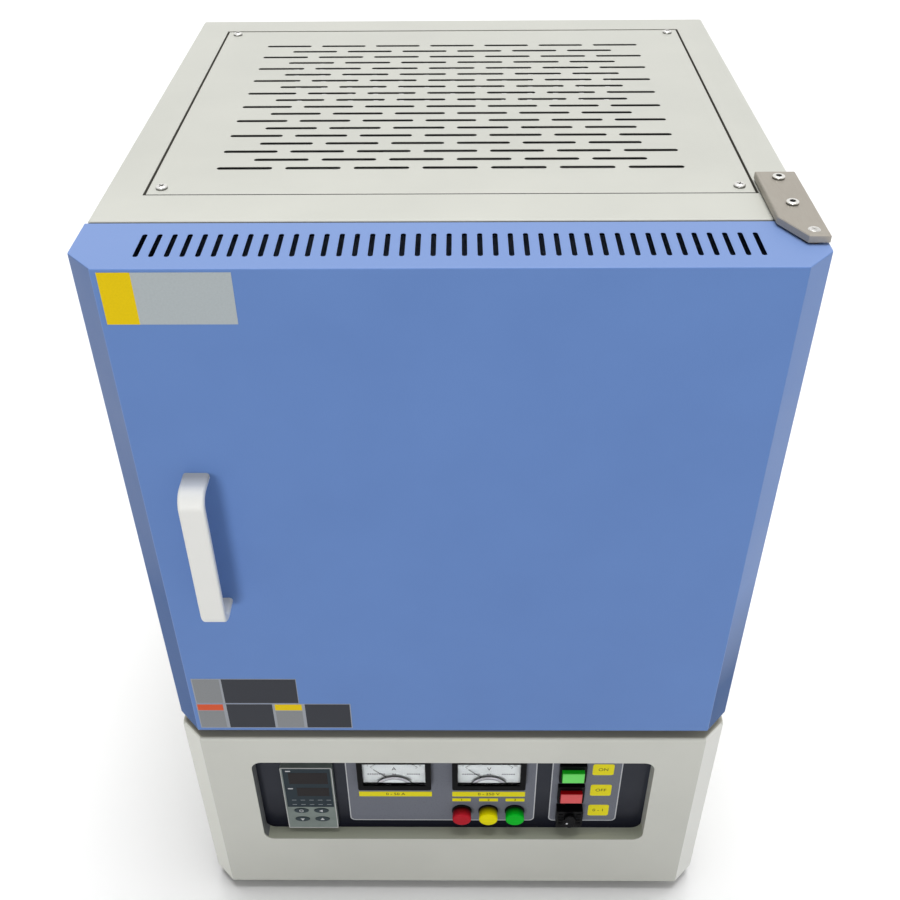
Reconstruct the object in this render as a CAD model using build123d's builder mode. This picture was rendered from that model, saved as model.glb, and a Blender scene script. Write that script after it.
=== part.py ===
"""Bench-top muffle furnace: casing on an instrument base, with a side-hung door and a ceramic-fibre chamber.

+Z is up, the door faces -Y, and the origin is on the floor at the centre of the overall footprint.
All sizes are in millimetres.
"""

import os

from build123d import *

# ---------------------------------------------------------------- driving dimensions
width = 484.0
sheet = 1.5
bend_radius = 3.0
play = 0.3  # gap between neighbouring sheet parts

foot_height = 15.0
foot_top_radius = 17.0
foot_taper_angle = 3.0
foot_inset = 45.0

base_height = 230.5
base_chamfer = 18.2
casing_height = 468.0
casing_depth = 428.8
rear_flange = 14.0

door_gap_below = 12.0
door_gap_behind = 2.5
door_depth = 62.0
door_chamfer_side = 19.2
door_chamfer_front = 20.7

handle_reach = 28.0
handle_width = 19.0
handle_bar = 6.0
handle_pitch = 126.5
handle_bend = 14.0
handle_inset = 60.9  # door side to the handle's middle
handle_foot_height = 163.2  # lower leg's middle above the door's bottom edge
handle_edge = 2.4
handle_screw_radius = 2.0

# cooking zone
chamber_width = 150.0
chamber_height = 150.0
chamber_depth = 235.0  # from the insulation's front face to its back wall
side_gap = 42.0  # casing's side to the insulation
floor_insulation = 120.0
roof_insulation = 120.0
back_insulation = 122.0
shell_clearance_below = 15.0
hearth_thickness = 8.0
hearth_gap = 3.0
hearth_edge = 2.0
mouth_size = 250.0
plug_root = 138.0
plug_tip = 126.0
plug_length = 42.0
door_block = 300.0
gasket_outer = 210.0
gasket_width = 20.0

# grille panel on top
grille_side_margin = 29.75  # casing side to the panel's side
grille_rear_margin = 30.3
grille_setback = 41.5  # casing front to the panel's front edge
grille_gap = 1.2
grille_drop = 8.0
grille_ledge = 18.0
grille_screw_inset = 10.0
panel_edge_radius = 1.6
panel_screw_radius = 2.0
panel_screw_head = 4.2
panel_screw_height = 2.4
panel_screw_length = 6.0
screw_play = 0.1
slot_length = 40.4
slot_width = 4.6
slot_pitch = 49.75
slot_row_pitch = 15.0
slots_long_row = 7
slot_rows = 19
vent_length = 31.0
vent_width = 3.4
vent_pitch = 9.9
vent_count = 41
vent_setback = 31.0  # door front to the middle of a vent

# hinge
hinge_plate_width = 28.0
hinge_plate_length = 97.0
hinge_plate_thickness = 5.0
hinge_plate_lift = 1.5
hinge_corner_side = 14.0
hinge_corner_front = 26.5
hinge_plate_setback = 29.0  # door front to the plate's front edge
pivot_setback = 37.5  # door front to the pivot axis
pivot_inset = 9.0  # door side to the pivot axis
pin_radius = 4.0
running_clearance = 0.05
bush_radius = 7.0
bush_length = 14.0
hinge_screw_pitch = 40.0
hinge_screw_first = 46.0  # plate's front edge to the first screw
hinge_screw_radius = 2.5
lower_plate_width = 60.0
lower_screw_pitch = 20.0
lower_screw_inset = 42.0  # door side to the middle between the lower plate's screws
hinge_edge = 0.6
hinge_screw_head = 4.7
hinge_screw_height = 2.7
hinge_screw_socket = 2.4
hinge_screw_length = 14.0
pin_reach = 12.0
door_bend = 1.0
door_window = 240.0
handle_screw_depth = 10.0

# magnet catch at the door's free side
catch_inset = 27.0  # door side to the catch's middle
catch_width = 14.0
catch_height = 50.0
catch_depth = 12.0
strike_sheet = 1.2

# base
cover_screw_pitch = 180.0
cover_vents = 13
cable_way_width = 200.0
cable_way_depth = 40.0

foot_screw_radius = 2.5
foot_recess_radius = 7.0
bottom_sheet = 2.0
floor_vents = 9
floor_vent_length = 60.0
floor_vent_width = 5.0
floor_vent_pitch = 26.0
gland_thread_radius = 10.0
gland_dome_radius = 11.0
gland_hex_length = 6.0
gland_inner_length = 12.0
gland_nut = 4.0
transformer_x = 110.0
core_width = 150.0
core_height = 125.0
core_depth = 70.0
thyristor_x = -30.0
sink_width = 90.0
sink_length = 120.0
sink_base = 8.0
sink_fin_height = 30.0
sink_fin = 2.5
sink_fins = 9
sink_spread = 0.96
thyristor_width = 60.0
thyristor_length = 90.0
thyristor_height = 32.0
rail_inset = 82.0  # casing's left side to the rail's middle
rail_length = 100.0
rail_foot = 27.0
rail_width = 35.0
rail_height = 7.5
rail_sheet = 1.0
breaker_width = 36.0
breaker_length = 80.0
breaker_nose = 45.0
breaker_shoulder = 50.0
breaker_height = 68.0
terminal_space = 6.0
terminal_block_height = 42.0

# control window in the base
window_width = 366.0
window_height = 122.0
window_radius = 10.0
window_centre_height = 135.0  # above the base's bottom edge
window_recess = 13.3
panel_sheet = 2.0
panel_margin = 12.0
overlay_sheet = 0.5
overlay_radius = 5.0
overlay_bottom_height = 86.5  # above the base's bottom edge
overlay_top_gap = 5.0
meter_overlay_left = -100.0
meter_overlay_right = 78.5
button_overlay_left = 92.0
button_overlay_right = 157.5

controller_x = -135.6
controller_bottom_height = 82.2
controller_width = 48.0
controller_height = 96.0
controller_proud = 6.0
controller_body_depth = 80.0
controller_wall = 1.8
display_height = 60.0
key_radius_x = 6.9
key_radius_z = 3.6
key_pitch_x = 19.2
key_pitch_z = 13.8
key_row_height = 14.8  # lower keys above the controller's bottom edge
key_travel = 0.8
key_proud = 0.6
key_root = 2.4
key_gap = 0.35
display_sheet = 1.5

meter_x = (-54.4, 33.6)
meter_width = 68.5
meter_height = 48.9
meter_bottom_height = 145.7
meter_proud = 8.0
meter_opening_width = 58.0
meter_opening_height = 33.0
meter_opening_rise = 7.3
meter_body_radius = 22.0
meter_body_depth = 38.0
dial_sink = 4.4
dial_sheet = 0.5
glass_sink = 0.8
glass_sheet = 1.0
needle_length = 27.0
needle_width = 0.7
needle_sheet = 0.4
needle_hub = 2.2
needle_pivot_rise = 1.5  # pivot above the opening's bottom edge
needle_pin = 0.8
needle_gap = 0.5
needle_side_angle = 89.5
needle_zero_angle = 45.0
meter_corner = 2.0

lamp_pitch = 25.4
lamp_x = 33.75  # middle lamp
lamp_height = 103.1
lamp_flange_radius = 9.5
lamp_flange = 1.8
lamp_lens_radius = 9.0
lamp_proud = 11.3
lamp_body_radius = 7.4
lamp_body_depth = 28.0
lamp_lens_round = 1.6

button_x = 111.3
button_top_height = 166.8
button_pitch = 32.0
button_housing = 25.0
button_housing_proud = 5.0
button_cap_width = 20.3
button_cap_height = 13.8
button_cap_proud = 4.6
button_travel = 2.5
button_gap = 0.3
button_root = 4.0
switch_body = 23.0
switch_body_depth = 34.0
housing_corner = 1.0
lock_head_proud = 10.0
lock_rib = 0.5
lock_rib_pitch = 2.6
lock_ribs = 7
lock_rib_length = 4.6
lock_rib_inset = 4.0  # side of the lock's head to the middle of its ribs
knob_radius = 6.0
knob_skirt = 1.6
knob_grip_width = 9.0
knob_grip_length = 19.0
knob_proud = 2.4
knob_edge = 0.7
knob_spindle_radius = 3.0
knob_rest_angle = 90.0

# services in the base and behind the chamber
fan_size = 120.0
fan_frame_depth = 25.0
fan_duct_radius = 57.0
fan_hub_radius = 20.0
fan_screw_pitch = 105.0
fan_blades = 7
fan_centre_rise = 190.0  # fan centre above the casing's bottom
rotor_shaft_radius = 2.0
guard_wire = 2.0
guard_arm = 4.0
guard_rings = 4
fan_corner = 4.0
fan_screw_radius = 2.2
fan_arm_width = 5.0
fan_mount_depth = 4.0
rotor_shaft_length = 12.0
rotor_hub_depth = 17.0
blade_sheet = 1.6
blade_chord = 22.0
blade_angle = 55.0
blade_tip_gap = 1.5
rear_vents = 13
rear_vent_length = 50.0
rear_vent_width = 5.0
rear_vent_pitch = 26.0
rear_vent_drop = 60.0
gland_radius = 12.0
gland_bore = 6.5
gland_reach = 20.0
gland_x = -150.0
gland_height = 60.0

element_pitch = 90.0
element_legs = 50.0
element_rod = 3.0
element_terminal = 6.0
element_wall_gap = 12.0
element_above_roof = 40.0
element_shoulder = 8.0
terminal_gap = 1.5
element_depth = 112.0
clamp_size = 18.0
clamp_height = 12.0
clamp_margin = 3.0
strap_width = 14.0
strap_sheet = 2.5
thermocouple_radius = 4.0
thermocouple_reach = 45.0
thermocouple_rise = 118.0  # above the chamber floor
thermocouple_neck = 10.0
thermocouple_head = 18.0

# ---------------------------------------------------------------- places worked out from them
depth_total = handle_reach + door_depth + door_gap_behind + casing_depth + gland_reach
front_y = -depth_total / 2 + handle_reach
door_back_y = front_y + door_depth
casing_front_y = door_back_y + door_gap_behind
rear_y = casing_front_y + casing_depth
base_depth = rear_y - front_y
base_mid_y = (front_y + rear_y) / 2
casing_mid_y = (casing_front_y + rear_y) / 2
half = width / 2

base_bottom_z = foot_height
base_top_z = base_bottom_z + base_height
casing_top_z = base_top_z + casing_height
casing_mid_z = (base_top_z + casing_top_z) / 2
door_bottom_z = base_top_z + door_gap_below
door_height = casing_top_z - door_bottom_z

shell_bottom_z = base_top_z + sheet + shell_clearance_below
block_bottom_z = shell_bottom_z + sheet
chamber_floor_z = block_bottom_z + floor_insulation
chamber_mid_z = chamber_floor_z + chamber_height / 2
chamber_roof_z = chamber_floor_z + chamber_height
block_top_z = chamber_roof_z + roof_insulation
wall_insulation = half - side_gap - chamber_width / 2
block_width = chamber_width + 2 * wall_insulation
block_front_y = casing_front_y + sheet
chamber_back_y = block_front_y + chamber_depth
block_back_y = chamber_back_y + back_insulation
cable_way_y = (block_back_y + rear_y) / 2

door_mid_z = (door_bottom_z + casing_top_z) / 2
handle_z = door_bottom_z + handle_foot_height + handle_pitch / 2
handle_x = handle_inset - half
rail_x = rail_inset - half
catch_x = catch_inset - half
lower_screw_x = half - lower_screw_inset
pivot_x = half - pivot_inset
pivot_y = front_y + pivot_setback
panel_y = front_y + window_recess
window_z = base_bottom_z + window_centre_height
window_top_z = window_z + window_height / 2
fan_z = base_top_z + fan_centre_rise
base_cover_z = (base_bottom_z + base_top_z) / 2
rear_width = width - 2 * (sheet + play)
rear_height = casing_height - 2 * (sheet + play)
rear_screw_x = half - sheet - rear_flange / 2
rear_screw_pitch = casing_height / 2 - sheet - rear_flange / 2


def front_plane(y):
    """Plane facing the operator at depth y, whose sketch axes are the model's X and Z."""
    return Plane.XZ.offset(-y)


def save(builder, label):
    """Name the finished piece and write it to its own file."""
    builder.part.label = label
    export_step(builder.part, f"parts/{label}.step")


os.makedirs("parts", exist_ok=True)

# ---------------------------------------------------------------- casing
grille_width = width - 2 * grille_side_margin
grille_depth = casing_depth - grille_setback - grille_rear_margin
grille_y = casing_front_y + grille_setback + grille_depth / 2
opening_width = grille_width + 2 * grille_gap
opening_depth = grille_depth + 2 * grille_gap
ledge_top_z = casing_top_z - grille_drop
grille_screw_x = grille_width / 2 - grille_screw_inset
grille_screw_y = grille_depth / 2 - grille_screw_inset
hinge_x = half - hinge_plate_width / 2
hinge_front_y = front_y + hinge_plate_setback
hinge_screw_spots = [
    (hinge_x, hinge_front_y + hinge_screw_first),
    (hinge_x, hinge_front_y + hinge_screw_first + hinge_screw_pitch),
]
lower_plate_length = casing_front_y - play - hinge_front_y
lower_screw_spots = [
    (lower_screw_x - lower_screw_pitch / 2, hinge_front_y + lower_plate_length / 2),
    (lower_screw_x + lower_screw_pitch / 2, hinge_front_y + lower_plate_length / 2),
]

with BuildPart() as outer_casing:
    with BuildSketch(Plane.XY.offset(base_top_z)):
        with Locations((0, casing_mid_y)):
            Rectangle(width, casing_depth)
    extrude(amount=casing_height)
    rear_face = outer_casing.faces().sort_by(Axis.Y)[-1]
    fillet(outer_casing.edges() - rear_face.edges(), radius=bend_radius)
    offset(amount=-sheet, openings=outer_casing.faces().sort_by(Axis.Y)[-1])
    # mouth that the door's insulation reaches through
    with BuildSketch(front_plane(casing_front_y)):
        with Locations((0, chamber_mid_z)):
            Rectangle(mouth_size, mouth_size)
        with Locations((catch_x, casing_mid_z)):
            Rectangle(catch_width, catch_height)
    extrude(amount=-sheet, mode=Mode.SUBTRACT)
    # recess for the grille panel: upright walls, then the ledge that carries it
    with BuildSketch(Plane.XY.offset(casing_top_z)):
        with Locations((0, grille_y)):
            Rectangle(opening_width, opening_depth)
    extrude(amount=-sheet, mode=Mode.SUBTRACT)
    with BuildSketch(Plane.XY.offset(casing_top_z - sheet)):
        with Locations((0, grille_y)):
            Rectangle(opening_width + 2 * sheet, opening_depth + 2 * sheet)
            Rectangle(opening_width, opening_depth, mode=Mode.SUBTRACT)
    extrude(amount=-(grille_drop - sheet))
    with BuildSketch(Plane.XY.offset(ledge_top_z)):
        with Locations((0, grille_y)):
            Rectangle(opening_width + 2 * sheet, opening_depth + 2 * sheet)
            Rectangle(
                opening_width - 2 * grille_ledge,
                opening_depth - 2 * grille_ledge,
                mode=Mode.SUBTRACT,
            )
            with GridLocations(2 * grille_screw_x, 2 * grille_screw_y, 2, 2):
                Circle(panel_screw_radius, mode=Mode.SUBTRACT)
    extrude(amount=-sheet)
    with BuildSketch(Plane.XY.offset(casing_top_z)):
        with Locations(*hinge_screw_spots):
            Circle(hinge_screw_radius)
    extrude(amount=-sheet, mode=Mode.SUBTRACT)
    with BuildSketch(Plane.XY.offset(base_top_z)):
        with Locations((0, cable_way_y)):
            RectangleRounded(cable_way_width, cable_way_depth, bend_radius)
    extrude(amount=sheet, mode=Mode.SUBTRACT)
    # inward flange that the back panel is screwed to
    with BuildSketch(front_plane(rear_y - sheet)):
        with Locations((0, casing_mid_z)):
            Rectangle(width - 2 * sheet, casing_height - 2 * sheet)
            Rectangle(
                width - 2 * (sheet + rear_flange),
                casing_height - 2 * (sheet + rear_flange),
                mode=Mode.SUBTRACT,
            )
            with GridLocations(2 * rear_screw_x, rear_screw_pitch, 2, 3):
                Circle(panel_screw_radius, mode=Mode.SUBTRACT)
    extrude(amount=sheet)
save(outer_casing, "outer_casing")

with BuildPart() as grille_panel:
    with BuildSketch(Plane.XY.offset(casing_top_z)):
        with Locations((0, grille_y)):
            Rectangle(grille_width, grille_depth)
    extrude(amount=-grille_drop)
    fillet(grille_panel.edges().group_by(Axis.Z)[-1], radius=panel_edge_radius)
    offset(amount=-sheet, openings=grille_panel.faces().sort_by(Axis.Z)[0])
    long_rows = slot_rows // 2 + 1
    with BuildSketch(Plane.XY.offset(casing_top_z)):
        with Locations((0, grille_y)):
            with GridLocations(slot_pitch, 2 * slot_row_pitch, slots_long_row, long_rows):
                SlotOverall(slot_length, slot_width)
            with GridLocations(
                slot_pitch, 2 * slot_row_pitch, slots_long_row - 1, slot_rows - long_rows
            ):
                SlotOverall(slot_length, slot_width)
            with GridLocations(2 * grille_screw_x, 2 * grille_screw_y, 2, 2):
                Circle(panel_screw_radius)
    extrude(amount=-sheet, mode=Mode.SUBTRACT)
save(grille_panel, "grille_panel")

with BuildPart() as back_panel:
    with BuildSketch(front_plane(rear_y)):
        with Locations((0, casing_mid_z)):
            RectangleRounded(rear_width, rear_height, bend_radius)
            with GridLocations(2 * rear_screw_x, rear_screw_pitch, 2, 3):
                Circle(panel_screw_radius, mode=Mode.SUBTRACT)
        with Locations((0, fan_z)):
            Circle(fan_duct_radius, mode=Mode.SUBTRACT)
            with GridLocations(fan_screw_pitch, fan_screw_pitch, 2, 2):
                Circle(fan_screw_radius, mode=Mode.SUBTRACT)
        with Locations((0, casing_top_z - rear_vent_drop)):
            with GridLocations(rear_vent_pitch, 0, rear_vents, 1):
                SlotOverall(rear_vent_length, rear_vent_width, rotation=90, mode=Mode.SUBTRACT)
    extrude(amount=sheet)
save(back_panel, "back_panel")

with BuildPart() as panel_screws:
    with BuildSketch(Plane.XY.offset(casing_top_z)):
        with Locations((0, grille_y)):
            with GridLocations(2 * grille_screw_x, 2 * grille_screw_y, 2, 2):
                Circle(panel_screw_head)
    extrude(amount=panel_screw_height)
    chamfer(panel_screws.edges().group_by(Axis.Z)[-1], length=panel_screw_height / 3)
    with BuildSketch(Plane.XY.offset(casing_top_z)):
        with Locations((0, grille_y)):
            with GridLocations(2 * grille_screw_x, 2 * grille_screw_y, 2, 2):
                Circle(panel_screw_radius - screw_play)
    extrude(amount=-(grille_drop + panel_screw_length))
    with BuildSketch(front_plane(rear_y)):
        with Locations((0, casing_mid_z)):
            with GridLocations(2 * rear_screw_x, rear_screw_pitch, 2, 3):
                Circle(panel_screw_head)
        with Locations((0, base_cover_z)):
            with GridLocations(2 * rear_screw_x, cover_screw_pitch, 2, 2):
                Circle(panel_screw_head)
    extrude(amount=-panel_screw_height)
    chamfer(panel_screws.edges().group_by(Axis.Y)[-1], length=panel_screw_height / 3)
    with BuildSketch(front_plane(rear_y)):
        with Locations((0, casing_mid_z)):
            with GridLocations(2 * rear_screw_x, rear_screw_pitch, 2, 3):
                Circle(panel_screw_radius - screw_play)
        with Locations((0, base_cover_z)):
            with GridLocations(2 * rear_screw_x, cover_screw_pitch, 2, 2):
                Circle(panel_screw_radius - screw_play)
    extrude(amount=panel_screw_length)
save(panel_screws, "panel_screws")

with BuildPart() as fan_guard:
    with BuildSketch(front_plane(rear_y)):
        with Locations((0, fan_z)):
            for ring in range(guard_rings, 0, -1):
                middle = fan_duct_radius * ring / guard_rings
                Circle(middle + guard_wire / 2)
                Circle(middle - guard_wire / 2, mode=Mode.SUBTRACT)
            arm = fan_screw_pitch * 2**0.5
            Rectangle(arm, guard_arm, rotation=45)
            Rectangle(arm, guard_arm, rotation=-45)
            with GridLocations(fan_screw_pitch, fan_screw_pitch, 2, 2):
                Circle(guard_arm)
                Circle(fan_screw_radius, mode=Mode.SUBTRACT)
    extrude(amount=-guard_wire)
save(fan_guard, "fan_guard")

# ---------------------------------------------------------------- cooling fan
fan_rear_y = rear_y - sheet
fan_front_y = fan_rear_y - fan_frame_depth

with BuildPart() as fan_frame:
    with BuildSketch(front_plane(fan_rear_y)):
        with Locations((0, fan_z)):
            RectangleRounded(fan_size, fan_size, fan_corner)
            Circle(fan_duct_radius, mode=Mode.SUBTRACT)
            with GridLocations(fan_screw_pitch, fan_screw_pitch, 2, 2):
                Circle(fan_screw_radius, mode=Mode.SUBTRACT)
    extrude(amount=fan_frame_depth)
    # motor mount on the chamber side, held by three arms
    with BuildSketch(front_plane(fan_front_y)):
        with Locations((0, fan_z)):
            Circle(fan_hub_radius)
            with PolarLocations(fan_duct_radius / 2, 3):
                Rectangle(fan_duct_radius + sheet, fan_arm_width)
    extrude(amount=-fan_mount_depth)
    with BuildSketch(front_plane(fan_front_y + fan_mount_depth)):
        with Locations((0, fan_z)):
            Circle(rotor_shaft_radius)
    extrude(amount=-rotor_shaft_length)
save(fan_frame, "fan_frame")

with BuildPart() as fan_blade:
    with BuildSketch(Plane.YZ.offset(fan_hub_radius - sheet)):
        Rectangle(blade_sheet, blade_chord, rotation=blade_angle)
    extrude(amount=fan_duct_radius - fan_hub_radius + sheet - blade_tip_gap)

hub_front_y = fan_front_y + fan_mount_depth + play
hub_mid_y = hub_front_y + rotor_hub_depth / 2
with BuildPart() as fan_rotor:
    with BuildSketch(front_plane(hub_front_y)):
        with Locations((0, fan_z)):
            Circle(fan_hub_radius)
    extrude(amount=-rotor_hub_depth)
    fillet(fan_rotor.edges().group_by(Axis.Y)[-1], radius=fan_corner / 2)
    with Locations(Location((0, hub_mid_y, fan_z), (90, 0, 0))):
        with PolarLocations(0, fan_blades):
            add(fan_blade.part)
    with BuildSketch(front_plane(hub_front_y)):
        with Locations((0, fan_z)):
            Circle(rotor_shaft_radius + running_clearance)
    extrude(amount=-rotor_shaft_length, mode=Mode.SUBTRACT)
save(fan_rotor, "fan_rotor")

# ---------------------------------------------------------------- chamber
plug_end_y = door_back_y + plug_length
element_mid_y = (plug_end_y + chamber_back_y) / 2
element_x = chamber_width / 2 - element_wall_gap
element_ys = (element_mid_y - element_pitch / 2, element_mid_y + element_pitch / 2)
element_spots = [(x, y) for x in (-element_x, element_x) for y in element_ys]
terminal_spots = [
    (x, y + side * element_legs / 2) for x, y in element_spots for side in (-1, 1)
]
terminal_top_z = block_top_z + sheet + element_above_roof
thermocouple_z = chamber_floor_z + thermocouple_rise
block_height = block_top_z - block_bottom_z
block_depth = block_back_y - block_front_y
block_mid_y = (block_front_y + block_back_y) / 2

with BuildPart() as inner_shell:
    with BuildSketch(front_plane(block_front_y)):
        with Locations((0, chamber_mid_z)):
            Rectangle(block_width + 2 * sheet, block_height + 2 * sheet)
    extrude(amount=-(block_depth + sheet))
    with BuildSketch(front_plane(block_front_y)):
        with Locations((0, chamber_mid_z)):
            Rectangle(block_width, block_height)
    extrude(amount=-block_depth, mode=Mode.SUBTRACT)
    with BuildSketch(Plane.XY.offset(block_top_z)):
        with Locations(*terminal_spots):
            Circle(element_terminal + terminal_gap)
    extrude(amount=sheet, mode=Mode.SUBTRACT)
    with BuildSketch(front_plane(block_back_y)):
        with Locations((0, thermocouple_z)):
            Circle(thermocouple_radius)
    extrude(amount=-sheet, mode=Mode.SUBTRACT)
save(inner_shell, "inner_shell")

with BuildPart() as insulation_floor:
    with BuildSketch(Plane.XY.offset(block_bottom_z)):
        with Locations((0, block_mid_y)):
            Rectangle(block_width, block_depth)
    extrude(amount=floor_insulation)
save(insulation_floor, "insulation_floor")

with BuildPart() as insulation_roof:
    with BuildSketch(Plane.XY.offset(chamber_roof_z)):
        with Locations((0, block_mid_y)):
            Rectangle(block_width, block_depth)
        with Locations(*terminal_spots):
            Circle(element_terminal + terminal_gap, mode=Mode.SUBTRACT)
    extrude(amount=roof_insulation)
save(insulation_roof, "insulation_roof")

with BuildPart() as insulation_walls:
    with BuildSketch(Plane.XY.offset(chamber_floor_z)):
        for side in (-1, 1):
            with Locations((side * (chamber_width + wall_insulation) / 2, block_mid_y)):
                Rectangle(wall_insulation, block_depth)
    extrude(amount=chamber_height)
    with BuildSketch(front_plane(chamber_back_y)):
        with Locations((0, chamber_mid_z)):
            Rectangle(chamber_width, chamber_height)
        with Locations((0, thermocouple_z)):
            Circle(thermocouple_radius, mode=Mode.SUBTRACT)
    extrude(amount=-back_insulation)
save(insulation_walls, "insulation_walls")

with BuildPart() as hearth_plate:
    hearth_front_y = plug_end_y + hearth_gap
    hearth_depth = chamber_back_y - hearth_gap - hearth_front_y
    with BuildSketch(Plane.XY.offset(chamber_floor_z)):
        with Locations((0, hearth_front_y + hearth_depth / 2)):
            Rectangle(chamber_width - 2 * hearth_gap, hearth_depth)
    extrude(amount=hearth_thickness)
    fillet(hearth_plate.edges().group_by(Axis.Z)[-1], radius=hearth_edge)
save(hearth_plate, "hearth_plate")

# One element: two thick terminals joined to a thin hairpin below the roof.
with BuildPart() as element:
    bend_z = chamber_roof_z - element_depth + element_legs / 2
    shoulder_z = chamber_roof_z - element_shoulder
    with BuildLine(Plane.YZ) as hairpin:
        down = Line((-element_legs / 2, shoulder_z), (-element_legs / 2, bend_z))
        turn = ThreePointArc(
            (-element_legs / 2, bend_z), (0, bend_z - element_legs / 2), (element_legs / 2, bend_z)
        )
        Line((element_legs / 2, bend_z), (element_legs / 2, shoulder_z))
    with BuildSketch(Plane.XY.offset(shoulder_z)):
        with Locations((0, -element_legs / 2)):
            Circle(element_rod)
    sweep(path=hairpin.line)
    with BuildSketch(Plane.XY.offset(shoulder_z)):
        with GridLocations(0, element_legs, 1, 2):
            Circle(element_terminal)
    extrude(amount=terminal_top_z - shoulder_z)

with BuildPart() as heating_elements:
    with Locations(*element_spots):
        add(element.part)
save(heating_elements, "heating_elements")

clamp_bottom_z = terminal_top_z - clamp_height - strap_sheet - clamp_margin
with BuildPart() as element_clamps:
    with BuildSketch(Plane.XY.offset(clamp_bottom_z)):
        with Locations(*terminal_spots):
            RectangleRounded(clamp_size, clamp_size, clamp_margin)
            Circle(element_terminal, mode=Mode.SUBTRACT)
    extrude(amount=clamp_height)
    # Straps put the four elements in series: one along each side and one across the back.
    with BuildSketch(Plane.XY.offset(clamp_bottom_z + clamp_height)):
        for x in (-element_x, element_x):
            with Locations((x, element_mid_y)):
                SlotOverall(element_pitch - element_legs + clamp_size, strap_width, rotation=90)
        with Locations((0, element_ys[1] + element_legs / 2)):
            SlotOverall(2 * element_x + clamp_size, strap_width)
        with Locations(*terminal_spots):
            Circle(element_terminal, mode=Mode.SUBTRACT)
    extrude(amount=strap_sheet)
save(element_clamps, "element_clamps")

head_y = block_back_y + sheet + thermocouple_neck
with BuildPart() as thermocouple:
    with BuildSketch(front_plane(chamber_back_y - thermocouple_reach)):
        with Locations((0, thermocouple_z)):
            Circle(thermocouple_radius)
    extrude(amount=-(head_y - chamber_back_y + thermocouple_reach))
    fillet(thermocouple.edges().group_by(Axis.Y)[0], radius=thermocouple_radius / 2)
    with BuildSketch(front_plane(head_y)):
        with Locations((0, thermocouple_z)):
            Circle(thermocouple_head)
    extrude(amount=-thermocouple_head)
    fillet(thermocouple.edges().group_by(Axis.Y)[-1], radius=hearth_edge)
save(thermocouple, "thermocouple")

with BuildPart() as magnet_catch:
    with BuildSketch(front_plane(casing_front_y)):
        with Locations((catch_x, casing_mid_z)):
            Rectangle(catch_width, catch_height)
    extrude(amount=-catch_depth)
save(magnet_catch, "magnet_catch")

# ---------------------------------------------------------------- base
footprint = [
    (-half, rear_y),
    (-half, front_y + base_chamfer),
    (-half + base_chamfer, front_y),
    (half - base_chamfer, front_y),
    (half, front_y + base_chamfer),
    (half, rear_y),
]
with BuildPart() as base_shell:
    with BuildSketch(Plane.XY.offset(base_bottom_z)):
        with BuildLine():
            Polyline(*footprint, close=True)
        make_face()
    extrude(amount=base_height)
    front_top_edges = base_shell.edges().group_by(Axis.Z)[-1].sort_by(Axis.Y)[:3]
    fillet(front_top_edges, radius=bend_radius)
    open_faces = [
        base_shell.faces().sort_by(Axis.Z)[0],
        base_shell.faces().sort_by(Axis.Y)[-1],
    ]
    offset(amount=-sheet, openings=open_faces)
    with BuildSketch(front_plane(front_y)):
        with Locations((0, window_z)):
            RectangleRounded(window_width, window_height, window_radius)
    extrude(amount=-sheet, mode=Mode.SUBTRACT)
    # tray welded round the window, which the instrument panel closes
    with BuildSketch(front_plane(front_y + sheet)):
        with Locations((0, window_z)):
            RectangleRounded(
                window_width + 2 * sheet, window_height + 2 * sheet, window_radius + sheet
            )
            RectangleRounded(window_width, window_height, window_radius, mode=Mode.SUBTRACT)
    extrude(amount=-(window_recess - sheet))
    with BuildSketch(Plane.XY.offset(base_top_z)):
        with Locations(*lower_screw_spots):
            Circle(hinge_screw_radius)
        with Locations((0, cable_way_y)):
            RectangleRounded(cable_way_width, cable_way_depth, bend_radius)
    extrude(amount=-sheet, mode=Mode.SUBTRACT)
    with BuildSketch(front_plane(rear_y - sheet)):
        with Locations((0, base_cover_z)):
            Rectangle(width - 2 * sheet, base_height)
            Rectangle(
                width - 2 * (sheet + rear_flange),
                base_height - 2 * (sheet + rear_flange),
                mode=Mode.SUBTRACT,
            )
            with GridLocations(2 * rear_screw_x, cover_screw_pitch, 2, 2):
                Circle(panel_screw_radius, mode=Mode.SUBTRACT)
    extrude(amount=sheet)
save(base_shell, "base_shell")

with BuildPart() as base_bottom:
    with BuildSketch(Plane.XY.offset(base_bottom_z)):
        with BuildLine():
            Polyline(*footprint, close=True)
        make_face()
        offset(amount=-(sheet + play), mode=Mode.REPLACE)
        with Locations((0, rear_y)):
            Rectangle(width, 2 * (2 * sheet + play), mode=Mode.SUBTRACT)
        with Locations((0, base_mid_y)):
            with GridLocations(width - 2 * foot_inset, base_depth - 2 * foot_inset, 2, 2):
                Circle(foot_screw_radius, mode=Mode.SUBTRACT)
            with GridLocations(floor_vent_pitch, floor_vent_length * 2, floor_vents, 2):
                SlotOverall(floor_vent_length, floor_vent_width, rotation=90, mode=Mode.SUBTRACT)
    extrude(amount=bottom_sheet)
save(base_bottom, "base_bottom")

with BuildPart() as rubber_feet:
    with BuildSketch(Plane.XY.offset(foot_height)):
        with Locations((0, base_mid_y)):
            with GridLocations(width - 2 * foot_inset, base_depth - 2 * foot_inset, 2, 2):
                Circle(foot_top_radius)
    extrude(amount=-foot_height, taper=foot_taper_angle)
    with BuildSketch(Plane.XY):
        with Locations((0, base_mid_y)):
            with GridLocations(width - 2 * foot_inset, base_depth - 2 * foot_inset, 2, 2):
                Circle(foot_recess_radius)
    extrude(amount=foot_height / 2, mode=Mode.SUBTRACT)
save(rubber_feet, "rubber_feet")

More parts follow.
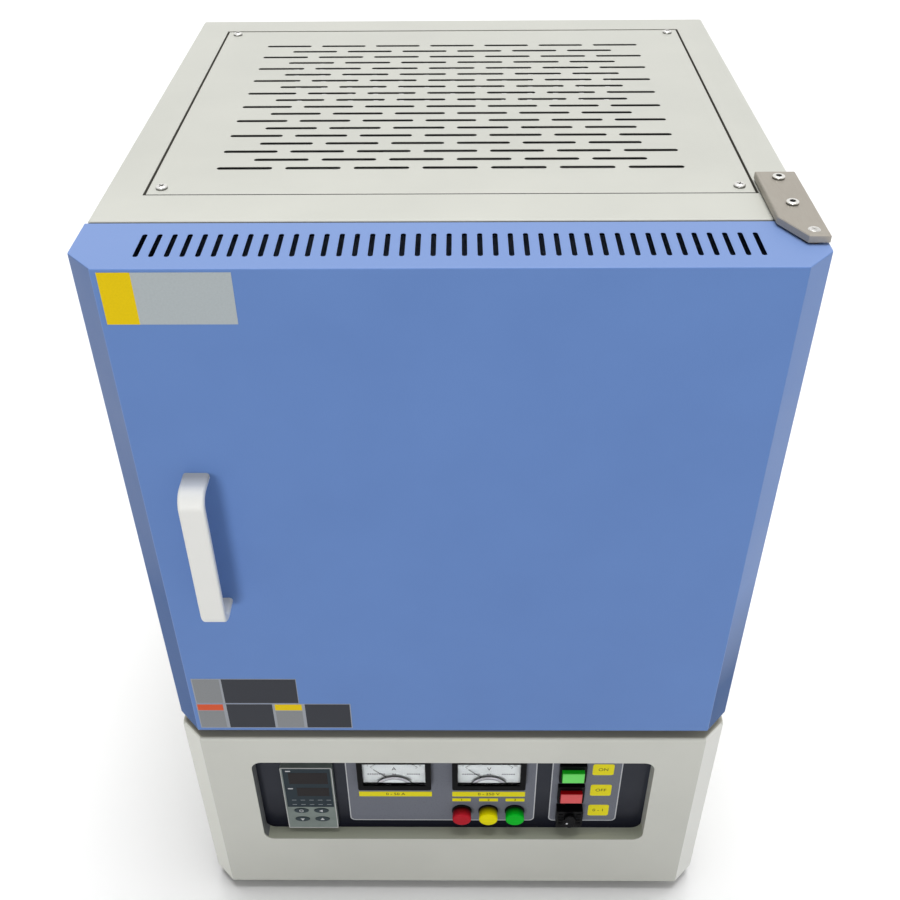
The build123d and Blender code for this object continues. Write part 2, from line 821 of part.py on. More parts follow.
with BuildPart() as base_rear_cover:
    with BuildSketch(front_plane(rear_y)):
        with Locations((0, base_cover_z)):
            Rectangle(rear_width, base_height - 2 * (sheet + play))
            with GridLocations(2 * rear_screw_x, cover_screw_pitch, 2, 2):
                Circle(panel_screw_radius, mode=Mode.SUBTRACT)
            with GridLocations(rear_vent_pitch, 0, cover_vents, 1):
                SlotOverall(rear_vent_length, rear_vent_width, rotation=90, mode=Mode.SUBTRACT)
        with Locations((gland_x, base_bottom_z + gland_height)):
            Circle(gland_thread_radius, mode=Mode.SUBTRACT)
    extrude(amount=sheet)
save(base_rear_cover, "base_rear_cover")

with BuildPart() as cable_gland:
    with BuildSketch(front_plane(rear_y)):
        with Locations((gland_x, base_bottom_z + gland_height)):
            RegularPolygon(gland_radius, 6)
    extrude(amount=-gland_hex_length)
    with BuildSketch(front_plane(rear_y + gland_hex_length)):
        with Locations((gland_x, base_bottom_z + gland_height)):
            Circle(gland_dome_radius)
    extrude(amount=-(gland_reach - gland_hex_length))
    fillet(cable_gland.edges().group_by(Axis.Y)[-1], radius=gland_dome_radius / 4)
    with BuildSketch(front_plane(rear_y)):
        with Locations((gland_x, base_bottom_z + gland_height)):
            Circle(gland_thread_radius)
    extrude(amount=gland_inner_length)
    with BuildSketch(front_plane(rear_y - sheet)):
        with Locations((gland_x, base_bottom_z + gland_height)):
            RegularPolygon(gland_radius, 6)
    extrude(amount=gland_nut)
    with BuildSketch(front_plane(rear_y - gland_inner_length)):
        with Locations((gland_x, base_bottom_z + gland_height)):
            Circle(gland_bore)
    extrude(amount=-(gland_inner_length + gland_reach), mode=Mode.SUBTRACT)
save(cable_gland, "cable_gland")

# ---------------------------------------------------------------- services in the base
service_z = base_bottom_z + bottom_sheet
core_y = casing_mid_y
with BuildPart() as transformer_core:
    with BuildSketch(front_plane(core_y - core_depth / 2)):
        with Locations((transformer_x, service_z + core_height / 2)):
            Rectangle(core_width, core_height)
            with GridLocations(core_width / 2, 0, 2, 1):
                Rectangle(core_width / 4, core_height - core_width / 2, mode=Mode.SUBTRACT)
    extrude(amount=-core_depth)
save(transformer_core, "transformer_core")

coil_height = core_height - core_width / 2 - 2 * play
with BuildPart() as transformer_coil:
    with BuildSketch(Plane.XY.offset(service_z + (core_height - coil_height) / 2)):
        with Locations((transformer_x, core_y)):
            RectangleRounded(
                core_width * 3 / 4 - 2 * play, core_depth + core_width / 4, core_width / 16
            )
            Rectangle(core_width / 4, core_depth, mode=Mode.SUBTRACT)
    extrude(amount=coil_height)
save(transformer_coil, "transformer_coil")

with BuildPart() as heat_sink:
    with BuildSketch(front_plane(core_y - sink_length / 2)):
        with Locations((thyristor_x, service_z + sink_base / 2)):
            Rectangle(sink_width, sink_base)
        with Locations((thyristor_x, service_z + sink_base + sink_fin_height / 2)):
            with GridLocations(sink_width / (sink_fins - 1) * sink_spread, 0, sink_fins, 1):
                Rectangle(sink_fin, sink_fin_height)
    extrude(amount=-sink_length)
save(heat_sink, "heat_sink")

with BuildPart() as thyristor_module:
    with BuildSketch(Plane.XY.offset(service_z + sink_base + sink_fin_height)):
        with Locations((thyristor_x, core_y)):
            RectangleRounded(thyristor_width, thyristor_length, hearth_edge)
    extrude(amount=thyristor_height)
    fillet(thyristor_module.edges().group_by(Axis.Z)[-1], radius=hearth_edge / 2)
save(thyristor_module, "thyristor_module")

rail_z = service_z + rail_height
with BuildPart() as mounting_rail:
    with BuildSketch(Plane.YZ.offset(rail_x - rail_length / 2)):
        with Locations((core_y, service_z + rail_height / 2)):
            Rectangle(rail_foot, rail_height)
            with Locations((0, -rail_sheet)):
                Rectangle(rail_foot - 2 * rail_sheet, rail_height, mode=Mode.SUBTRACT)
        with Locations((core_y, rail_z - rail_sheet / 2)):
            Rectangle(rail_width, rail_sheet)
    extrude(amount=rail_length)
save(mounting_rail, "mounting_rail")

with BuildPart() as circuit_breaker:
    with BuildSketch(Plane.YZ.offset(rail_x - rail_length / 2)):
        with BuildLine():
            Polyline(
                (core_y - breaker_length / 2, rail_z),
                (core_y + breaker_length / 2, rail_z),
                (core_y + breaker_length / 2, rail_z + breaker_shoulder),
                (core_y + breaker_nose / 2, rail_z + breaker_shoulder),
                (core_y + breaker_nose / 2, rail_z + breaker_height),
                (core_y - breaker_nose / 2, rail_z + breaker_height),
                (core_y - breaker_nose / 2, rail_z + breaker_shoulder),
                (core_y - breaker_length / 2, rail_z + breaker_shoulder),
                close=True,
            )
        make_face()
    extrude(amount=breaker_width)
save(circuit_breaker, "circuit_breaker")

with BuildPart() as terminal_block:
    with BuildSketch(Plane.YZ.offset(rail_x - rail_length / 2 + breaker_width + terminal_space)):
        with Locations((core_y, rail_z + terminal_block_height / 2)):
            Trapezoid(breaker_nose + terminal_block_height, terminal_block_height, 60)
    extrude(amount=rail_length - breaker_width - terminal_space)
save(terminal_block, "terminal_block")

# ---------------------------------------------------------------- instrument panel
face_y = panel_y - overlay_sheet
controller_z = base_bottom_z + controller_bottom_height + controller_height / 2
meter_z = base_bottom_z + meter_bottom_height + meter_height / 2
lamp_z = base_bottom_z + lamp_height
lamp_xs = [lamp_x + step * lamp_pitch for step in (-1, 0, 1)]
switch_zs = [base_bottom_z + button_top_height - step * button_pitch for step in range(3)]
overlay_bottom_z = base_bottom_z + overlay_bottom_height
overlay_top_z = window_top_z - overlay_top_gap


def group_cutouts(extra):
    """Cut the holes for meters, lamps and switches out of the sketch, larger by extra."""
    with Locations(*[(x, meter_z) for x in meter_x]):
        Circle(meter_body_radius + extra, mode=Mode.SUBTRACT)
    with Locations(*[(x, lamp_z) for x in lamp_xs]):
        Circle(lamp_body_radius + extra, mode=Mode.SUBTRACT)
    with Locations(*[(button_x, z) for z in switch_zs]):
        Rectangle(switch_body + 2 * extra, switch_body + 2 * extra, mode=Mode.SUBTRACT)


with BuildPart() as instrument_panel:
    with BuildSketch(front_plane(panel_y)):
        with Locations((0, window_z)):
            RectangleRounded(
                window_width + 2 * panel_margin, window_height + 2 * panel_margin, window_radius
            )
        with Locations((controller_x, controller_z)):
            Rectangle(
                controller_width - 2 * controller_wall + 2 * play,
                controller_height - 2 * controller_wall + 2 * play,
                mode=Mode.SUBTRACT,
            )
        group_cutouts(play)
    extrude(amount=-panel_sheet)
save(instrument_panel, "instrument_panel")

with BuildPart() as panel_overlays:
    with BuildSketch(front_plane(panel_y)):
        for left, right in (
            (meter_overlay_left, meter_overlay_right),
            (button_overlay_left, button_overlay_right),
        ):
            with Locations(((left + right) / 2, (overlay_bottom_z + overlay_top_z) / 2)):
                RectangleRounded(right - left, overlay_top_z - overlay_bottom_z, overlay_radius)
        group_cutouts(play)
    extrude(amount=overlay_sheet)
save(panel_overlays, "panel_overlays")

key_z = base_bottom_z + controller_bottom_height + key_row_height
key_spots = {
    "key_set": (controller_x - key_pitch_x / 2, key_z + key_pitch_z),
    "key_shift": (controller_x + key_pitch_x / 2, key_z + key_pitch_z),
    "key_down": (controller_x - key_pitch_x / 2, key_z),
    "key_up": (controller_x + key_pitch_x / 2, key_z),
}
controller_front_y = panel_y - controller_proud
display_z = controller_z + (controller_height - display_height) / 2 - controller_wall
display_width = controller_width - 2 * controller_wall

with BuildPart() as controller_case:
    with BuildSketch(front_plane(panel_y)):
        with Locations((controller_x, controller_z)):
            RectangleRounded(controller_width, controller_height, controller_wall)
    extrude(amount=controller_proud)
    with BuildSketch(front_plane(panel_y)):
        with Locations((controller_x, controller_z)):
            Rectangle(
                controller_width - 2 * controller_wall, controller_height - 2 * controller_wall
            )
    extrude(amount=-controller_body_depth)
    with BuildSketch(front_plane(controller_front_y)):
        with Locations((controller_x, display_z)):
            Rectangle(display_width, display_height)
    extrude(amount=-display_sheet, mode=Mode.SUBTRACT)
    with BuildSketch(front_plane(controller_front_y)):
        with Locations(*key_spots.values()):
            Ellipse(key_radius_x + key_gap, key_radius_z + key_gap)
    extrude(amount=-(key_root + key_travel + key_gap), mode=Mode.SUBTRACT)
save(controller_case, "controller_case")

with BuildPart() as controller_display:
    with BuildSketch(front_plane(controller_front_y + display_sheet)):
        with Locations((controller_x, display_z)):
            Rectangle(display_width - play, display_height - play)
    extrude(amount=display_sheet)
save(controller_display, "controller_display")

for label, spot in key_spots.items():
    with BuildPart() as key:
        with BuildSketch(front_plane(controller_front_y + key_root)):
            with Locations(spot):
                Ellipse(key_radius_x, key_radius_z)
        extrude(amount=key_root + key_proud)
        chamfer(key.edges().group_by(Axis.Y)[0], length=key_proud / 3)
    save(key, label)

meter_front_y = panel_y - meter_proud
opening_z = meter_z - meter_height / 2 + meter_opening_rise + meter_opening_height / 2
needle_z = opening_z - meter_opening_height / 2 + needle_pivot_rise
dial_front_y = meter_front_y + dial_sink
needle_front_y = dial_front_y - needle_sheet - needle_gap
glass_front_y = meter_front_y + glass_sink

needle_spots = [(x, needle_z) for x in meter_x]
opening_spots = [(x, opening_z) for x in meter_x]

with BuildPart() as meter_cases:
    with BuildSketch(front_plane(face_y)):
        with Locations(*[(x, meter_z) for x in meter_x]):
            RectangleRounded(meter_width, meter_height, meter_corner)
    extrude(amount=face_y - meter_front_y)
    fillet(meter_cases.edges().group_by(Axis.Y)[0], radius=meter_corner / 2)
    with BuildSketch(front_plane(face_y)):
        with Locations(*[(x, meter_z) for x in meter_x]):
            Circle(meter_body_radius)
    extrude(amount=-meter_body_depth)
    with BuildSketch(front_plane(meter_front_y)):
        with Locations(*opening_spots):
            Rectangle(meter_opening_width, meter_opening_height)
    extrude(amount=-(dial_sink + dial_sheet), mode=Mode.SUBTRACT)
    with BuildSketch(front_plane(glass_front_y + glass_sheet)):
        with Locations(*needle_spots):
            Circle(needle_hub + key_gap)
    extrude(amount=-(dial_front_y - glass_front_y - glass_sheet), mode=Mode.SUBTRACT)
    with BuildSketch(front_plane(dial_front_y + dial_sheet)):
        with Locations(*needle_spots):
            Circle(needle_pin)
    extrude(amount=dial_sheet + dial_front_y - needle_front_y)
save(meter_cases, "meter_cases")

with BuildPart() as meter_dials:
    with BuildSketch(front_plane(dial_front_y)):
        with Locations(*opening_spots):
            Rectangle(meter_opening_width, meter_opening_height)
        with Locations(*needle_spots):
            Circle(needle_pin, mode=Mode.SUBTRACT)
    extrude(amount=-dial_sheet)
save(meter_dials, "meter_dials")

for name, x in zip(("ammeter", "voltmeter"), meter_x):
    with BuildPart() as meter_needle:
        with BuildSketch(front_plane(needle_front_y + needle_sheet)):
            with Locations((x, needle_z)):
                Circle(needle_hub)
                Trapezoid(
                    needle_width,
                    needle_length,
                    needle_side_angle,
                    rotation=needle_zero_angle,
                    align=(Align.CENTER, Align.MIN),
                )
                Circle(needle_pin + running_clearance, mode=Mode.SUBTRACT)
        extrude(amount=needle_sheet)
    save(meter_needle, f"{name}_needle")

with BuildPart() as meter_glasses:
    with BuildSketch(front_plane(glass_front_y)):
        with Locations(*opening_spots):
            Rectangle(meter_opening_width, meter_opening_height)
    extrude(amount=-glass_sheet)
save(meter_glasses, "meter_glasses")

with BuildPart() as lamp_bodies:
    with BuildSketch(front_plane(face_y)):
        with Locations(*[(x, lamp_z) for x in lamp_xs]):
            Circle(lamp_flange_radius)
    extrude(amount=lamp_flange)
    chamfer(lamp_bodies.edges().group_by(Axis.Y)[0], length=lamp_flange / 3)
    with BuildSketch(front_plane(face_y)):
        with Locations(*[(x, lamp_z) for x in lamp_xs]):
            Circle(lamp_body_radius)
    extrude(amount=-lamp_body_depth)
save(lamp_bodies, "lamp_bodies")

for colour, x in zip(("red", "yellow", "green"), lamp_xs):
    with BuildPart() as lamp_lens:
        lens_back_y = face_y - lamp_flange
        with BuildSketch(front_plane(lens_back_y)):
            with Locations((x, lamp_z)):
                Circle(lamp_lens_radius)
        extrude(amount=lens_back_y - panel_y + lamp_proud)
        fillet(lamp_lens.edges().group_by(Axis.Y)[0], radius=lamp_lens_round)
    save(lamp_lens, f"{colour}_lamp_lens")

housing_front_y = panel_y - button_housing_proud
lock_front_y = panel_y - lock_head_proud
lock_z = switch_zs[2]
with BuildPart() as switch_housings:
    with BuildSketch(front_plane(face_y)):
        with Locations(*[(button_x, z) for z in switch_zs[:2]]):
            RectangleRounded(button_housing, button_housing, housing_corner)
    extrude(amount=face_y - housing_front_y)
    with BuildSketch(front_plane(face_y)):
        with Locations((button_x, lock_z)):
            RectangleRounded(button_housing, button_housing, housing_corner)
    extrude(amount=face_y - lock_front_y)
    # grip ribs beside the knob on the lock's head
    with BuildSketch(front_plane(lock_front_y)):
        with Locations((button_x, lock_z)):
            with GridLocations(
                button_housing - 2 * lock_rib_inset, lock_rib_pitch, 2, lock_ribs
            ):
                SlotOverall(lock_rib_length, lock_rib_pitch / 2)
    extrude(amount=lock_rib)
    with BuildSketch(front_plane(face_y)):
        with Locations(*[(button_x, z) for z in switch_zs]):
            Rectangle(switch_body, switch_body)
    extrude(amount=-switch_body_depth)
    with BuildSketch(front_plane(housing_front_y)):
        with Locations(*[(button_x, z) for z in switch_zs[:2]]):
            Rectangle(button_cap_width + 2 * button_gap, button_cap_height + 2 * button_gap)
    extrude(amount=-(button_root + button_travel + button_gap), mode=Mode.SUBTRACT)
    with BuildSketch(front_plane(lock_front_y)):
        with Locations((button_x, lock_z)):
            Circle(knob_spindle_radius + running_clearance)
    extrude(amount=-(button_root + button_gap), mode=Mode.SUBTRACT)
save(switch_housings, "switch_housings")

for label, z in zip(("start_button", "stop_button"), switch_zs):
    with BuildPart() as button:
        with BuildSketch(front_plane(housing_front_y + button_root)):
            with Locations((button_x, z)):
                Rectangle(button_cap_width, button_cap_height)
        extrude(amount=button_root + button_cap_proud)
        fillet(button.edges().group_by(Axis.Y)[0], radius=housing_corner)
    save(button, label)

knob_back_y = lock_front_y - lock_rib - play
with BuildPart() as lock_knob:
    with BuildSketch(front_plane(knob_back_y)):
        with Locations((button_x, lock_z)):
            Circle(knob_radius)
    extrude(amount=knob_skirt)
    with BuildSketch(front_plane(knob_back_y)):
        with Locations((button_x, lock_z)):
            SlotOverall(knob_grip_length, knob_grip_width, rotation=knob_rest_angle)
    extrude(amount=knob_proud)
    fillet(lock_knob.edges().group_by(Axis.Y)[0], radius=knob_edge)
    with BuildSketch(front_plane(knob_back_y)):
        with Locations((button_x, lock_z)):
            Circle(knob_spindle_radius)
    extrude(amount=-(button_root + lock_rib + play))
save(lock_knob, "lock_knob")

# ---------------------------------------------------------------- hinges
# The plate's corner towards the middle of the door is cut off at a slant.
hinge_outline = [
    (half, hinge_front_y),
    (half, hinge_front_y + hinge_plate_length),
    (half - hinge_plate_width, hinge_front_y + hinge_plate_length),
    (half - hinge_plate_width, hinge_front_y + hinge_corner_front),
    (half - hinge_plate_width + hinge_corner_side, hinge_front_y),
]
upper_plate_z = casing_top_z + hinge_plate_lift
plate_top_z = upper_plate_z + hinge_plate_thickness
lower_plate_top_z = base_top_z + hinge_plate_thickness
pad_depth = hinge_front_y + hinge_plate_length - casing_front_y - bend_radius

with BuildPart() as hinge_plates:
    with BuildSketch(Plane.XY.offset(upper_plate_z)):
        with BuildLine():
            Polyline(*hinge_outline, close=True)
        make_face()
    extrude(amount=hinge_plate_thickness)
    chamfer(hinge_plates.edges().group_by(Axis.Z)[-1], length=hinge_edge)
    # pad that lifts the overhanging nose clear of the door
    with BuildSketch(Plane.XY.offset(casing_top_z)):
        with Locations((hinge_x, casing_front_y + bend_radius + pad_depth / 2)):
            Rectangle(hinge_plate_width - 2 * bend_radius, pad_depth)
    extrude(amount=hinge_plate_lift)
    with BuildSketch(Plane.XY.offset(casing_top_z)):
        with Locations(*hinge_screw_spots):
            Circle(hinge_screw_radius)
        with Locations((pivot_x, pivot_y)):
            Circle(pin_radius)
    extrude(amount=hinge_plate_lift + hinge_plate_thickness, mode=Mode.SUBTRACT)
    # lower plate, on the base in front of the casing
    with BuildSketch(Plane.XY.offset(base_top_z)):
        with Locations((half - lower_plate_width / 2, hinge_front_y + lower_plate_length / 2)):
            Rectangle(lower_plate_width, lower_plate_length)
        with Locations(*lower_screw_spots):
            Circle(hinge_screw_radius, mode=Mode.SUBTRACT)
        with Locations((pivot_x, pivot_y)):
            Circle(pin_radius, mode=Mode.SUBTRACT)
    extrude(amount=hinge_plate_thickness)
save(hinge_plates, "hinge_plates")

with BuildPart() as hinge_screws:
    for plate_z, spots in ((plate_top_z, hinge_screw_spots), (lower_plate_top_z, lower_screw_spots)):
        with BuildSketch(Plane.XY.offset(plate_z)):
            with Locations(*spots):
                Circle(hinge_screw_head)
        extrude(amount=hinge_screw_height)
        rims = hinge_screws.edges().filter_by_position(
            Axis.Z, plate_z + hinge_screw_height, plate_z + hinge_screw_height
        )
        chamfer(rims, length=hinge_screw_height / 3)
        with BuildSketch(Plane.XY.offset(plate_z + hinge_screw_height)):
            with Locations(*spots):
                RegularPolygon(hinge_screw_socket, 6)
        extrude(amount=-hinge_screw_height * 3 / 4, mode=Mode.SUBTRACT)
        with BuildSketch(Plane.XY.offset(plate_z)):
            with Locations(*spots):
                Circle(hinge_screw_radius - screw_play)
        extrude(amount=-hinge_screw_length)
save(hinge_screws, "hinge_screws")

with BuildPart() as hinge_pins:
    with BuildSketch(Plane.XY.offset(plate_top_z)):
        with Locations((pivot_x, pivot_y)):
            Circle(pin_radius)
    extrude(amount=-(plate_top_z - casing_top_z + pin_reach))
    with BuildSketch(Plane.XY.offset(base_top_z)):
        with Locations((pivot_x, pivot_y)):
            Circle(pin_radius)
    extrude(amount=door_gap_below + pin_reach)
    # collar under the door that carries its weight
    with BuildSketch(Plane.XY.offset(lower_plate_top_z)):
        with Locations((pivot_x, pivot_y)):
            Circle(bush_radius)
    extrude(amount=door_gap_below - hinge_plate_thickness - running_clearance)
save(hinge_pins, "hinge_pins")

# ---------------------------------------------------------------- door
door_outline = [
    (-half, door_back_y),
    (-half, front_y + door_chamfer_front),
    (-half + door_chamfer_side, front_y),
    (half - door_chamfer_side, front_y),
    (half, front_y + door_chamfer_front),
    (half, door_back_y),
]
with BuildPart() as door_pan:
    with BuildSketch(Plane.XY.offset(door_bottom_z)):
        with BuildLine():
            Polyline(*door_outline, close=True)
        make_face()
    extrude(amount=door_height)
    pan_back = door_pan.faces().sort_by(Axis.Y)[-1]
    bent_edges = (
        door_pan.edges().group_by(Axis.Z)[-1] + door_pan.edges().group_by(Axis.Z)[0]
    ) - pan_back.edges()
    fillet(bent_edges.filter_by(Axis.Y, reverse=True), radius=door_bend)
    offset(amount=-sheet, openings=door_pan.faces().sort_by(Axis.Y)[-1])
    with BuildSketch(Plane.XY.offset(casing_top_z)):
        with Locations((0, front_y + vent_setback)):
            with GridLocations(vent_pitch, 0, vent_count, 1):
                SlotOverall(vent_length, vent_width, rotation=90)
    extrude(amount=-sheet, mode=Mode.SUBTRACT)
    with BuildSketch(Plane.XY.offset(door_bottom_z)):
        with Locations((pivot_x, pivot_y)):
            Circle(bush_radius)
    extrude(amount=door_height, mode=Mode.SUBTRACT)
    with BuildSketch(front_plane(front_y)):
        with Locations((handle_x, handle_z)):
            with GridLocations(0, handle_pitch, 1, 2):
                Circle(handle_screw_radius)
    extrude(amount=-sheet, mode=Mode.SUBTRACT)
save(door_pan, "door_pan")

with BuildPart() as door_back_plate:
    with BuildSketch(front_plane(door_back_y)):
        with Locations((0, door_mid_z)):
            Rectangle(width - 2 * (sheet + play), door_height - 2 * (sheet + play))
        with Locations((0, chamber_mid_z)):
            Rectangle(door_window, door_window, mode=Mode.SUBTRACT)
    extrude(amount=sheet)
save(door_back_plate, "door_back_plate")

with BuildPart() as door_insulation:
    with BuildSketch(front_plane(front_y + sheet)):
        with Locations((0, chamber_mid_z)):
            Rectangle(door_block, door_block)
    extrude(amount=-(door_depth - 2 * sheet))
    with BuildSketch(front_plane(door_back_y - sheet)):
        with Locations((0, chamber_mid_z)):
            Rectangle(door_window - 2 * play, door_window - 2 * play)
    extrude(amount=-sheet)
    # tapered plug that closes the chamber
    with BuildSketch(front_plane(door_back_y)):
        with Locations((0, chamber_mid_z)):
            Rectangle(plug_root, plug_root)
    with BuildSketch(front_plane(door_back_y + plug_length)):
        with Locations((0, chamber_mid_z)):
            Rectangle(plug_tip, plug_tip)
    loft()
save(door_insulation, "door_insulation")

with BuildPart() as door_gasket:
    with BuildSketch(front_plane(door_back_y)):
        with Locations((0, chamber_mid_z)):
            RectangleRounded(gasket_outer, gasket_outer, gasket_width / 2)
            Rectangle(
                gasket_outer - 2 * gasket_width, gasket_outer - 2 * gasket_width, mode=Mode.SUBTRACT
            )
    extrude(amount=-(door_gap_behind + sheet - play))
save(door_gasket, "door_gasket")

with BuildPart() as strike_plate:
    with BuildSketch(front_plane(door_back_y)):
        with Locations((catch_x, casing_mid_z)):
            RectangleRounded(catch_width, catch_height, hearth_edge)
    extrude(amount=-strike_sheet)
save(strike_plate, "strike_plate")

with BuildPart() as door_bushes:
    for z, direction in ((casing_top_z, -1), (door_bottom_z, 1)):
        with BuildSketch(Plane.XY.offset(z)):
            with Locations((pivot_x, pivot_y)):
                Circle(bush_radius)
                Circle(pin_radius + running_clearance, mode=Mode.SUBTRACT)
        extrude(amount=direction * bush_length)
save(door_bushes, "door_bushes")

with BuildPart() as door_handle:
    with BuildSketch(Plane.YZ.offset(handle_x - handle_width / 2)):
        with Locations((front_y, handle_z)):
            Rectangle(
                handle_reach, handle_pitch + handle_bar, align=(Align.MAX, Align.CENTER)
            )
            Rectangle(
                handle_reach - handle_bar,
                handle_pitch - handle_bar,
                align=(Align.MAX, Align.CENTER),
                mode=Mode.SUBTRACT,
            )
    extrude(amount=handle_width)
    across = door_handle.edges().filter_by(Axis.X).group_by(Axis.Y)
    fillet(across[0], radius=handle_bend)
    across = door_handle.edges().filter_by(Axis.X).sort_by(Axis.Y)
    inner = [e for e in across if abs(e.center().Y - (front_y - handle_reach + handle_bar)) < play]
    fillet(inner, radius=handle_bend - handle_bar)
    rims = door_handle.faces().filter_by(Axis.X).edges() - door_handle.faces().sort_by(Axis.Y)[-1].edges()
    fillet(rims - door_handle.faces().sort_by(Axis.Y)[-2].edges(), radius=handle_edge)
    with BuildSketch(front_plane(front_y)):
        with Locations((handle_x, handle_z)):
            with GridLocations(0, handle_pitch, 1, 2):
                Circle(handle_screw_radius)
    extrude(amount=handle_screw_depth, mode=Mode.SUBTRACT)
save(door_handle, "door_handle")

with BuildPart() as handle_screws:
    with BuildSketch(front_plane(front_y + sheet)):
        with Locations((handle_x, handle_z)):
            with GridLocations(0, handle_pitch, 1, 2):
                Circle(panel_screw_head)
    extrude(amount=-panel_screw_height)
    with BuildSketch(front_plane(front_y + sheet)):
        with Locations((handle_x, handle_z)):
            with GridLocations(0, handle_pitch, 1, 2):
                Circle(handle_screw_radius - screw_play)
    extrude(amount=sheet + handle_screw_depth - play)
save(handle_screws, "handle_screws")
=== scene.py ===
"""Looks of the bench-top muffle furnace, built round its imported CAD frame.

Places are in millimetres in the furnace's own frame, and become metres where a mesh is finished.
"""

import math

import bmesh
import bpy
from mathutils import Matrix, Vector


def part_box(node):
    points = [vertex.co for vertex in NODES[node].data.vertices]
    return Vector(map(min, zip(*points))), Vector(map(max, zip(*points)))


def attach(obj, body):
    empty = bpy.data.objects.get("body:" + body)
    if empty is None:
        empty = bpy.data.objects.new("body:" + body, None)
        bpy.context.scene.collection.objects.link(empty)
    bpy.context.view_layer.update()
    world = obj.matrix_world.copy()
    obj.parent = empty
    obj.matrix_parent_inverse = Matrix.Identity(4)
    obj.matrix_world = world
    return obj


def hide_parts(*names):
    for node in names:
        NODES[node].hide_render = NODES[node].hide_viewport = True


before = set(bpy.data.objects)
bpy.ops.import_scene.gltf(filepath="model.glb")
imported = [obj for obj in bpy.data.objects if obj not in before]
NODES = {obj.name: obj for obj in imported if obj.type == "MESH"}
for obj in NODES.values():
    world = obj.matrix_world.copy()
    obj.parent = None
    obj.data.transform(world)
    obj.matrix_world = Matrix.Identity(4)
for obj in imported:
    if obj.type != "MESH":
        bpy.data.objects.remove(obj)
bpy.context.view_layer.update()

MM = 0.001
IMAGE_SIDE = 900.0

# ---------------------------------------------------------------- places read from the frame


def low(node):
    """Lowest corner of a CAD node, in millimetres."""
    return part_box(node)[0] / MM


def high(node):
    """Highest corner of a CAD node, in millimetres."""
    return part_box(node)[1] / MM


FACE_Y = low("door_pan").y  # front face of the door
BASE_Z = low("base_shell").z
DOOR_BOTTOM = low("door_pan").z
CASING_TOP = high("outer_casing").z
PANEL_Y = low("instrument_panel").y
OVERLAY_Y = low("panel_overlays").y
HALF_WIDTH = high("outer_casing").x
REAR_Y = high("outer_casing").y

# ---------------------------------------------------------------- node helpers


def new_material(name):
    """Empty node material with its shader; returns material, node tree and shader."""
    material = bpy.data.materials.new(name)
    material.use_nodes = True
    tree = material.node_tree
    tree.nodes.clear()
    out = tree.nodes.new("ShaderNodeOutputMaterial")
    shader = tree.nodes.new("ShaderNodeBsdfPrincipled")
    tree.links.new(shader.outputs[0], out.inputs[0])
    return material, tree, shader


def feed(tree, value, socket):
    """Give a socket what another one holds, a number, or the three numbers of a colour."""
    if isinstance(value, bpy.types.NodeSocket):
        tree.links.new(value, socket)
    elif isinstance(value, tuple):
        socket.default_value = (*value, 1.0)
    else:
        socket.default_value = value


def object_coords(tree, scale=(1.0, 1.0, 1.0)):
    """Object coordinates stretched by scale."""
    coords = tree.nodes.new("ShaderNodeTexCoord")
    mapping = tree.nodes.new("ShaderNodeMapping")
    mapping.inputs["Scale"].default_value = scale
    tree.links.new(coords.outputs["Object"], mapping.inputs["Vector"])
    return mapping.outputs["Vector"]


def place_along(tree, axis, kind="Object"):
    """Coordinate along one axis; in metres when it is an object's."""
    coords = tree.nodes.new("ShaderNodeTexCoord")
    split = tree.nodes.new("ShaderNodeSeparateXYZ")
    tree.links.new(coords.outputs[kind], split.inputs[0])
    return split.outputs[axis]


def noise(tree, vector, scale, detail=2.0, roughness=0.5):
    """Noise value over a vector."""
    node = tree.nodes.new("ShaderNodeTexNoise")
    node.inputs["Scale"].default_value = scale
    node.inputs["Detail"].default_value = detail
    node.inputs["Roughness"].default_value = roughness
    tree.links.new(vector, node.inputs["Vector"])
    return node.outputs["Fac"]


def calculate(tree, operation, first, second):
    """Result of an operation on two values."""
    node = tree.nodes.new("ShaderNodeMath")
    node.operation = operation
    feed(tree, first, node.inputs[0])
    feed(tree, second, node.inputs[1])
    return node.outputs[0]


def spread(tree, value, low_out, high_out, low_in=0.3, high_in=0.7):
    """Value stretched from one span to another."""
    node = tree.nodes.new("ShaderNodeMapRange")
    node.inputs["From Min"].default_value = low_in
    node.inputs["From Max"].default_value = high_in
    node.inputs["To Min"].default_value = low_out
    node.inputs["To Max"].default_value = high_out
    tree.links.new(value, node.inputs["Value"])
    return node.outputs["Result"]


def blend(tree, factor, first, second):
    """Value between two values by factor."""
    node = tree.nodes.new("ShaderNodeMix")
    feed(tree, factor, node.inputs["Factor"])
    feed(tree, first, node.inputs["A"])
    feed(tree, second, node.inputs["B"])
    return node.outputs["Result"]


def tint(tree, factor, first, second, blend_type="MIX"):
    """Colour between two colours by factor."""
    node = tree.nodes.new("ShaderNodeMix")
    node.data_type = "RGBA"
    node.blend_type = blend_type
    feed(tree, factor, node.inputs["Factor"])
    feed(tree, first, node.inputs["A"])
    feed(tree, second, node.inputs["B"])
    return node.outputs["Result"]


def bump(tree, shader, height, distance, strength=1.0):
    """Relief on the shader from a height value, distance in metres."""
    node = tree.nodes.new("ShaderNodeBump")
    node.inputs["Strength"].default_value = strength
    node.inputs["Distance"].default_value = distance
    tree.links.new(height, node.inputs["Height"])
    tree.links.new(node.outputs["Normal"], shader.inputs["Normal"])


def surface(tree, shader, color, roughness, metallic=0.0, gloss=0.5):
    """Colour, roughness, share of metal and gloss of a shader."""
    feed(tree, color, shader.inputs["Base Color"])
    feed(tree, roughness, shader.inputs["Roughness"])
    feed(tree, metallic, shader.inputs["Metallic"])
    feed(tree, gloss, shader.inputs["Specular IOR Level"])


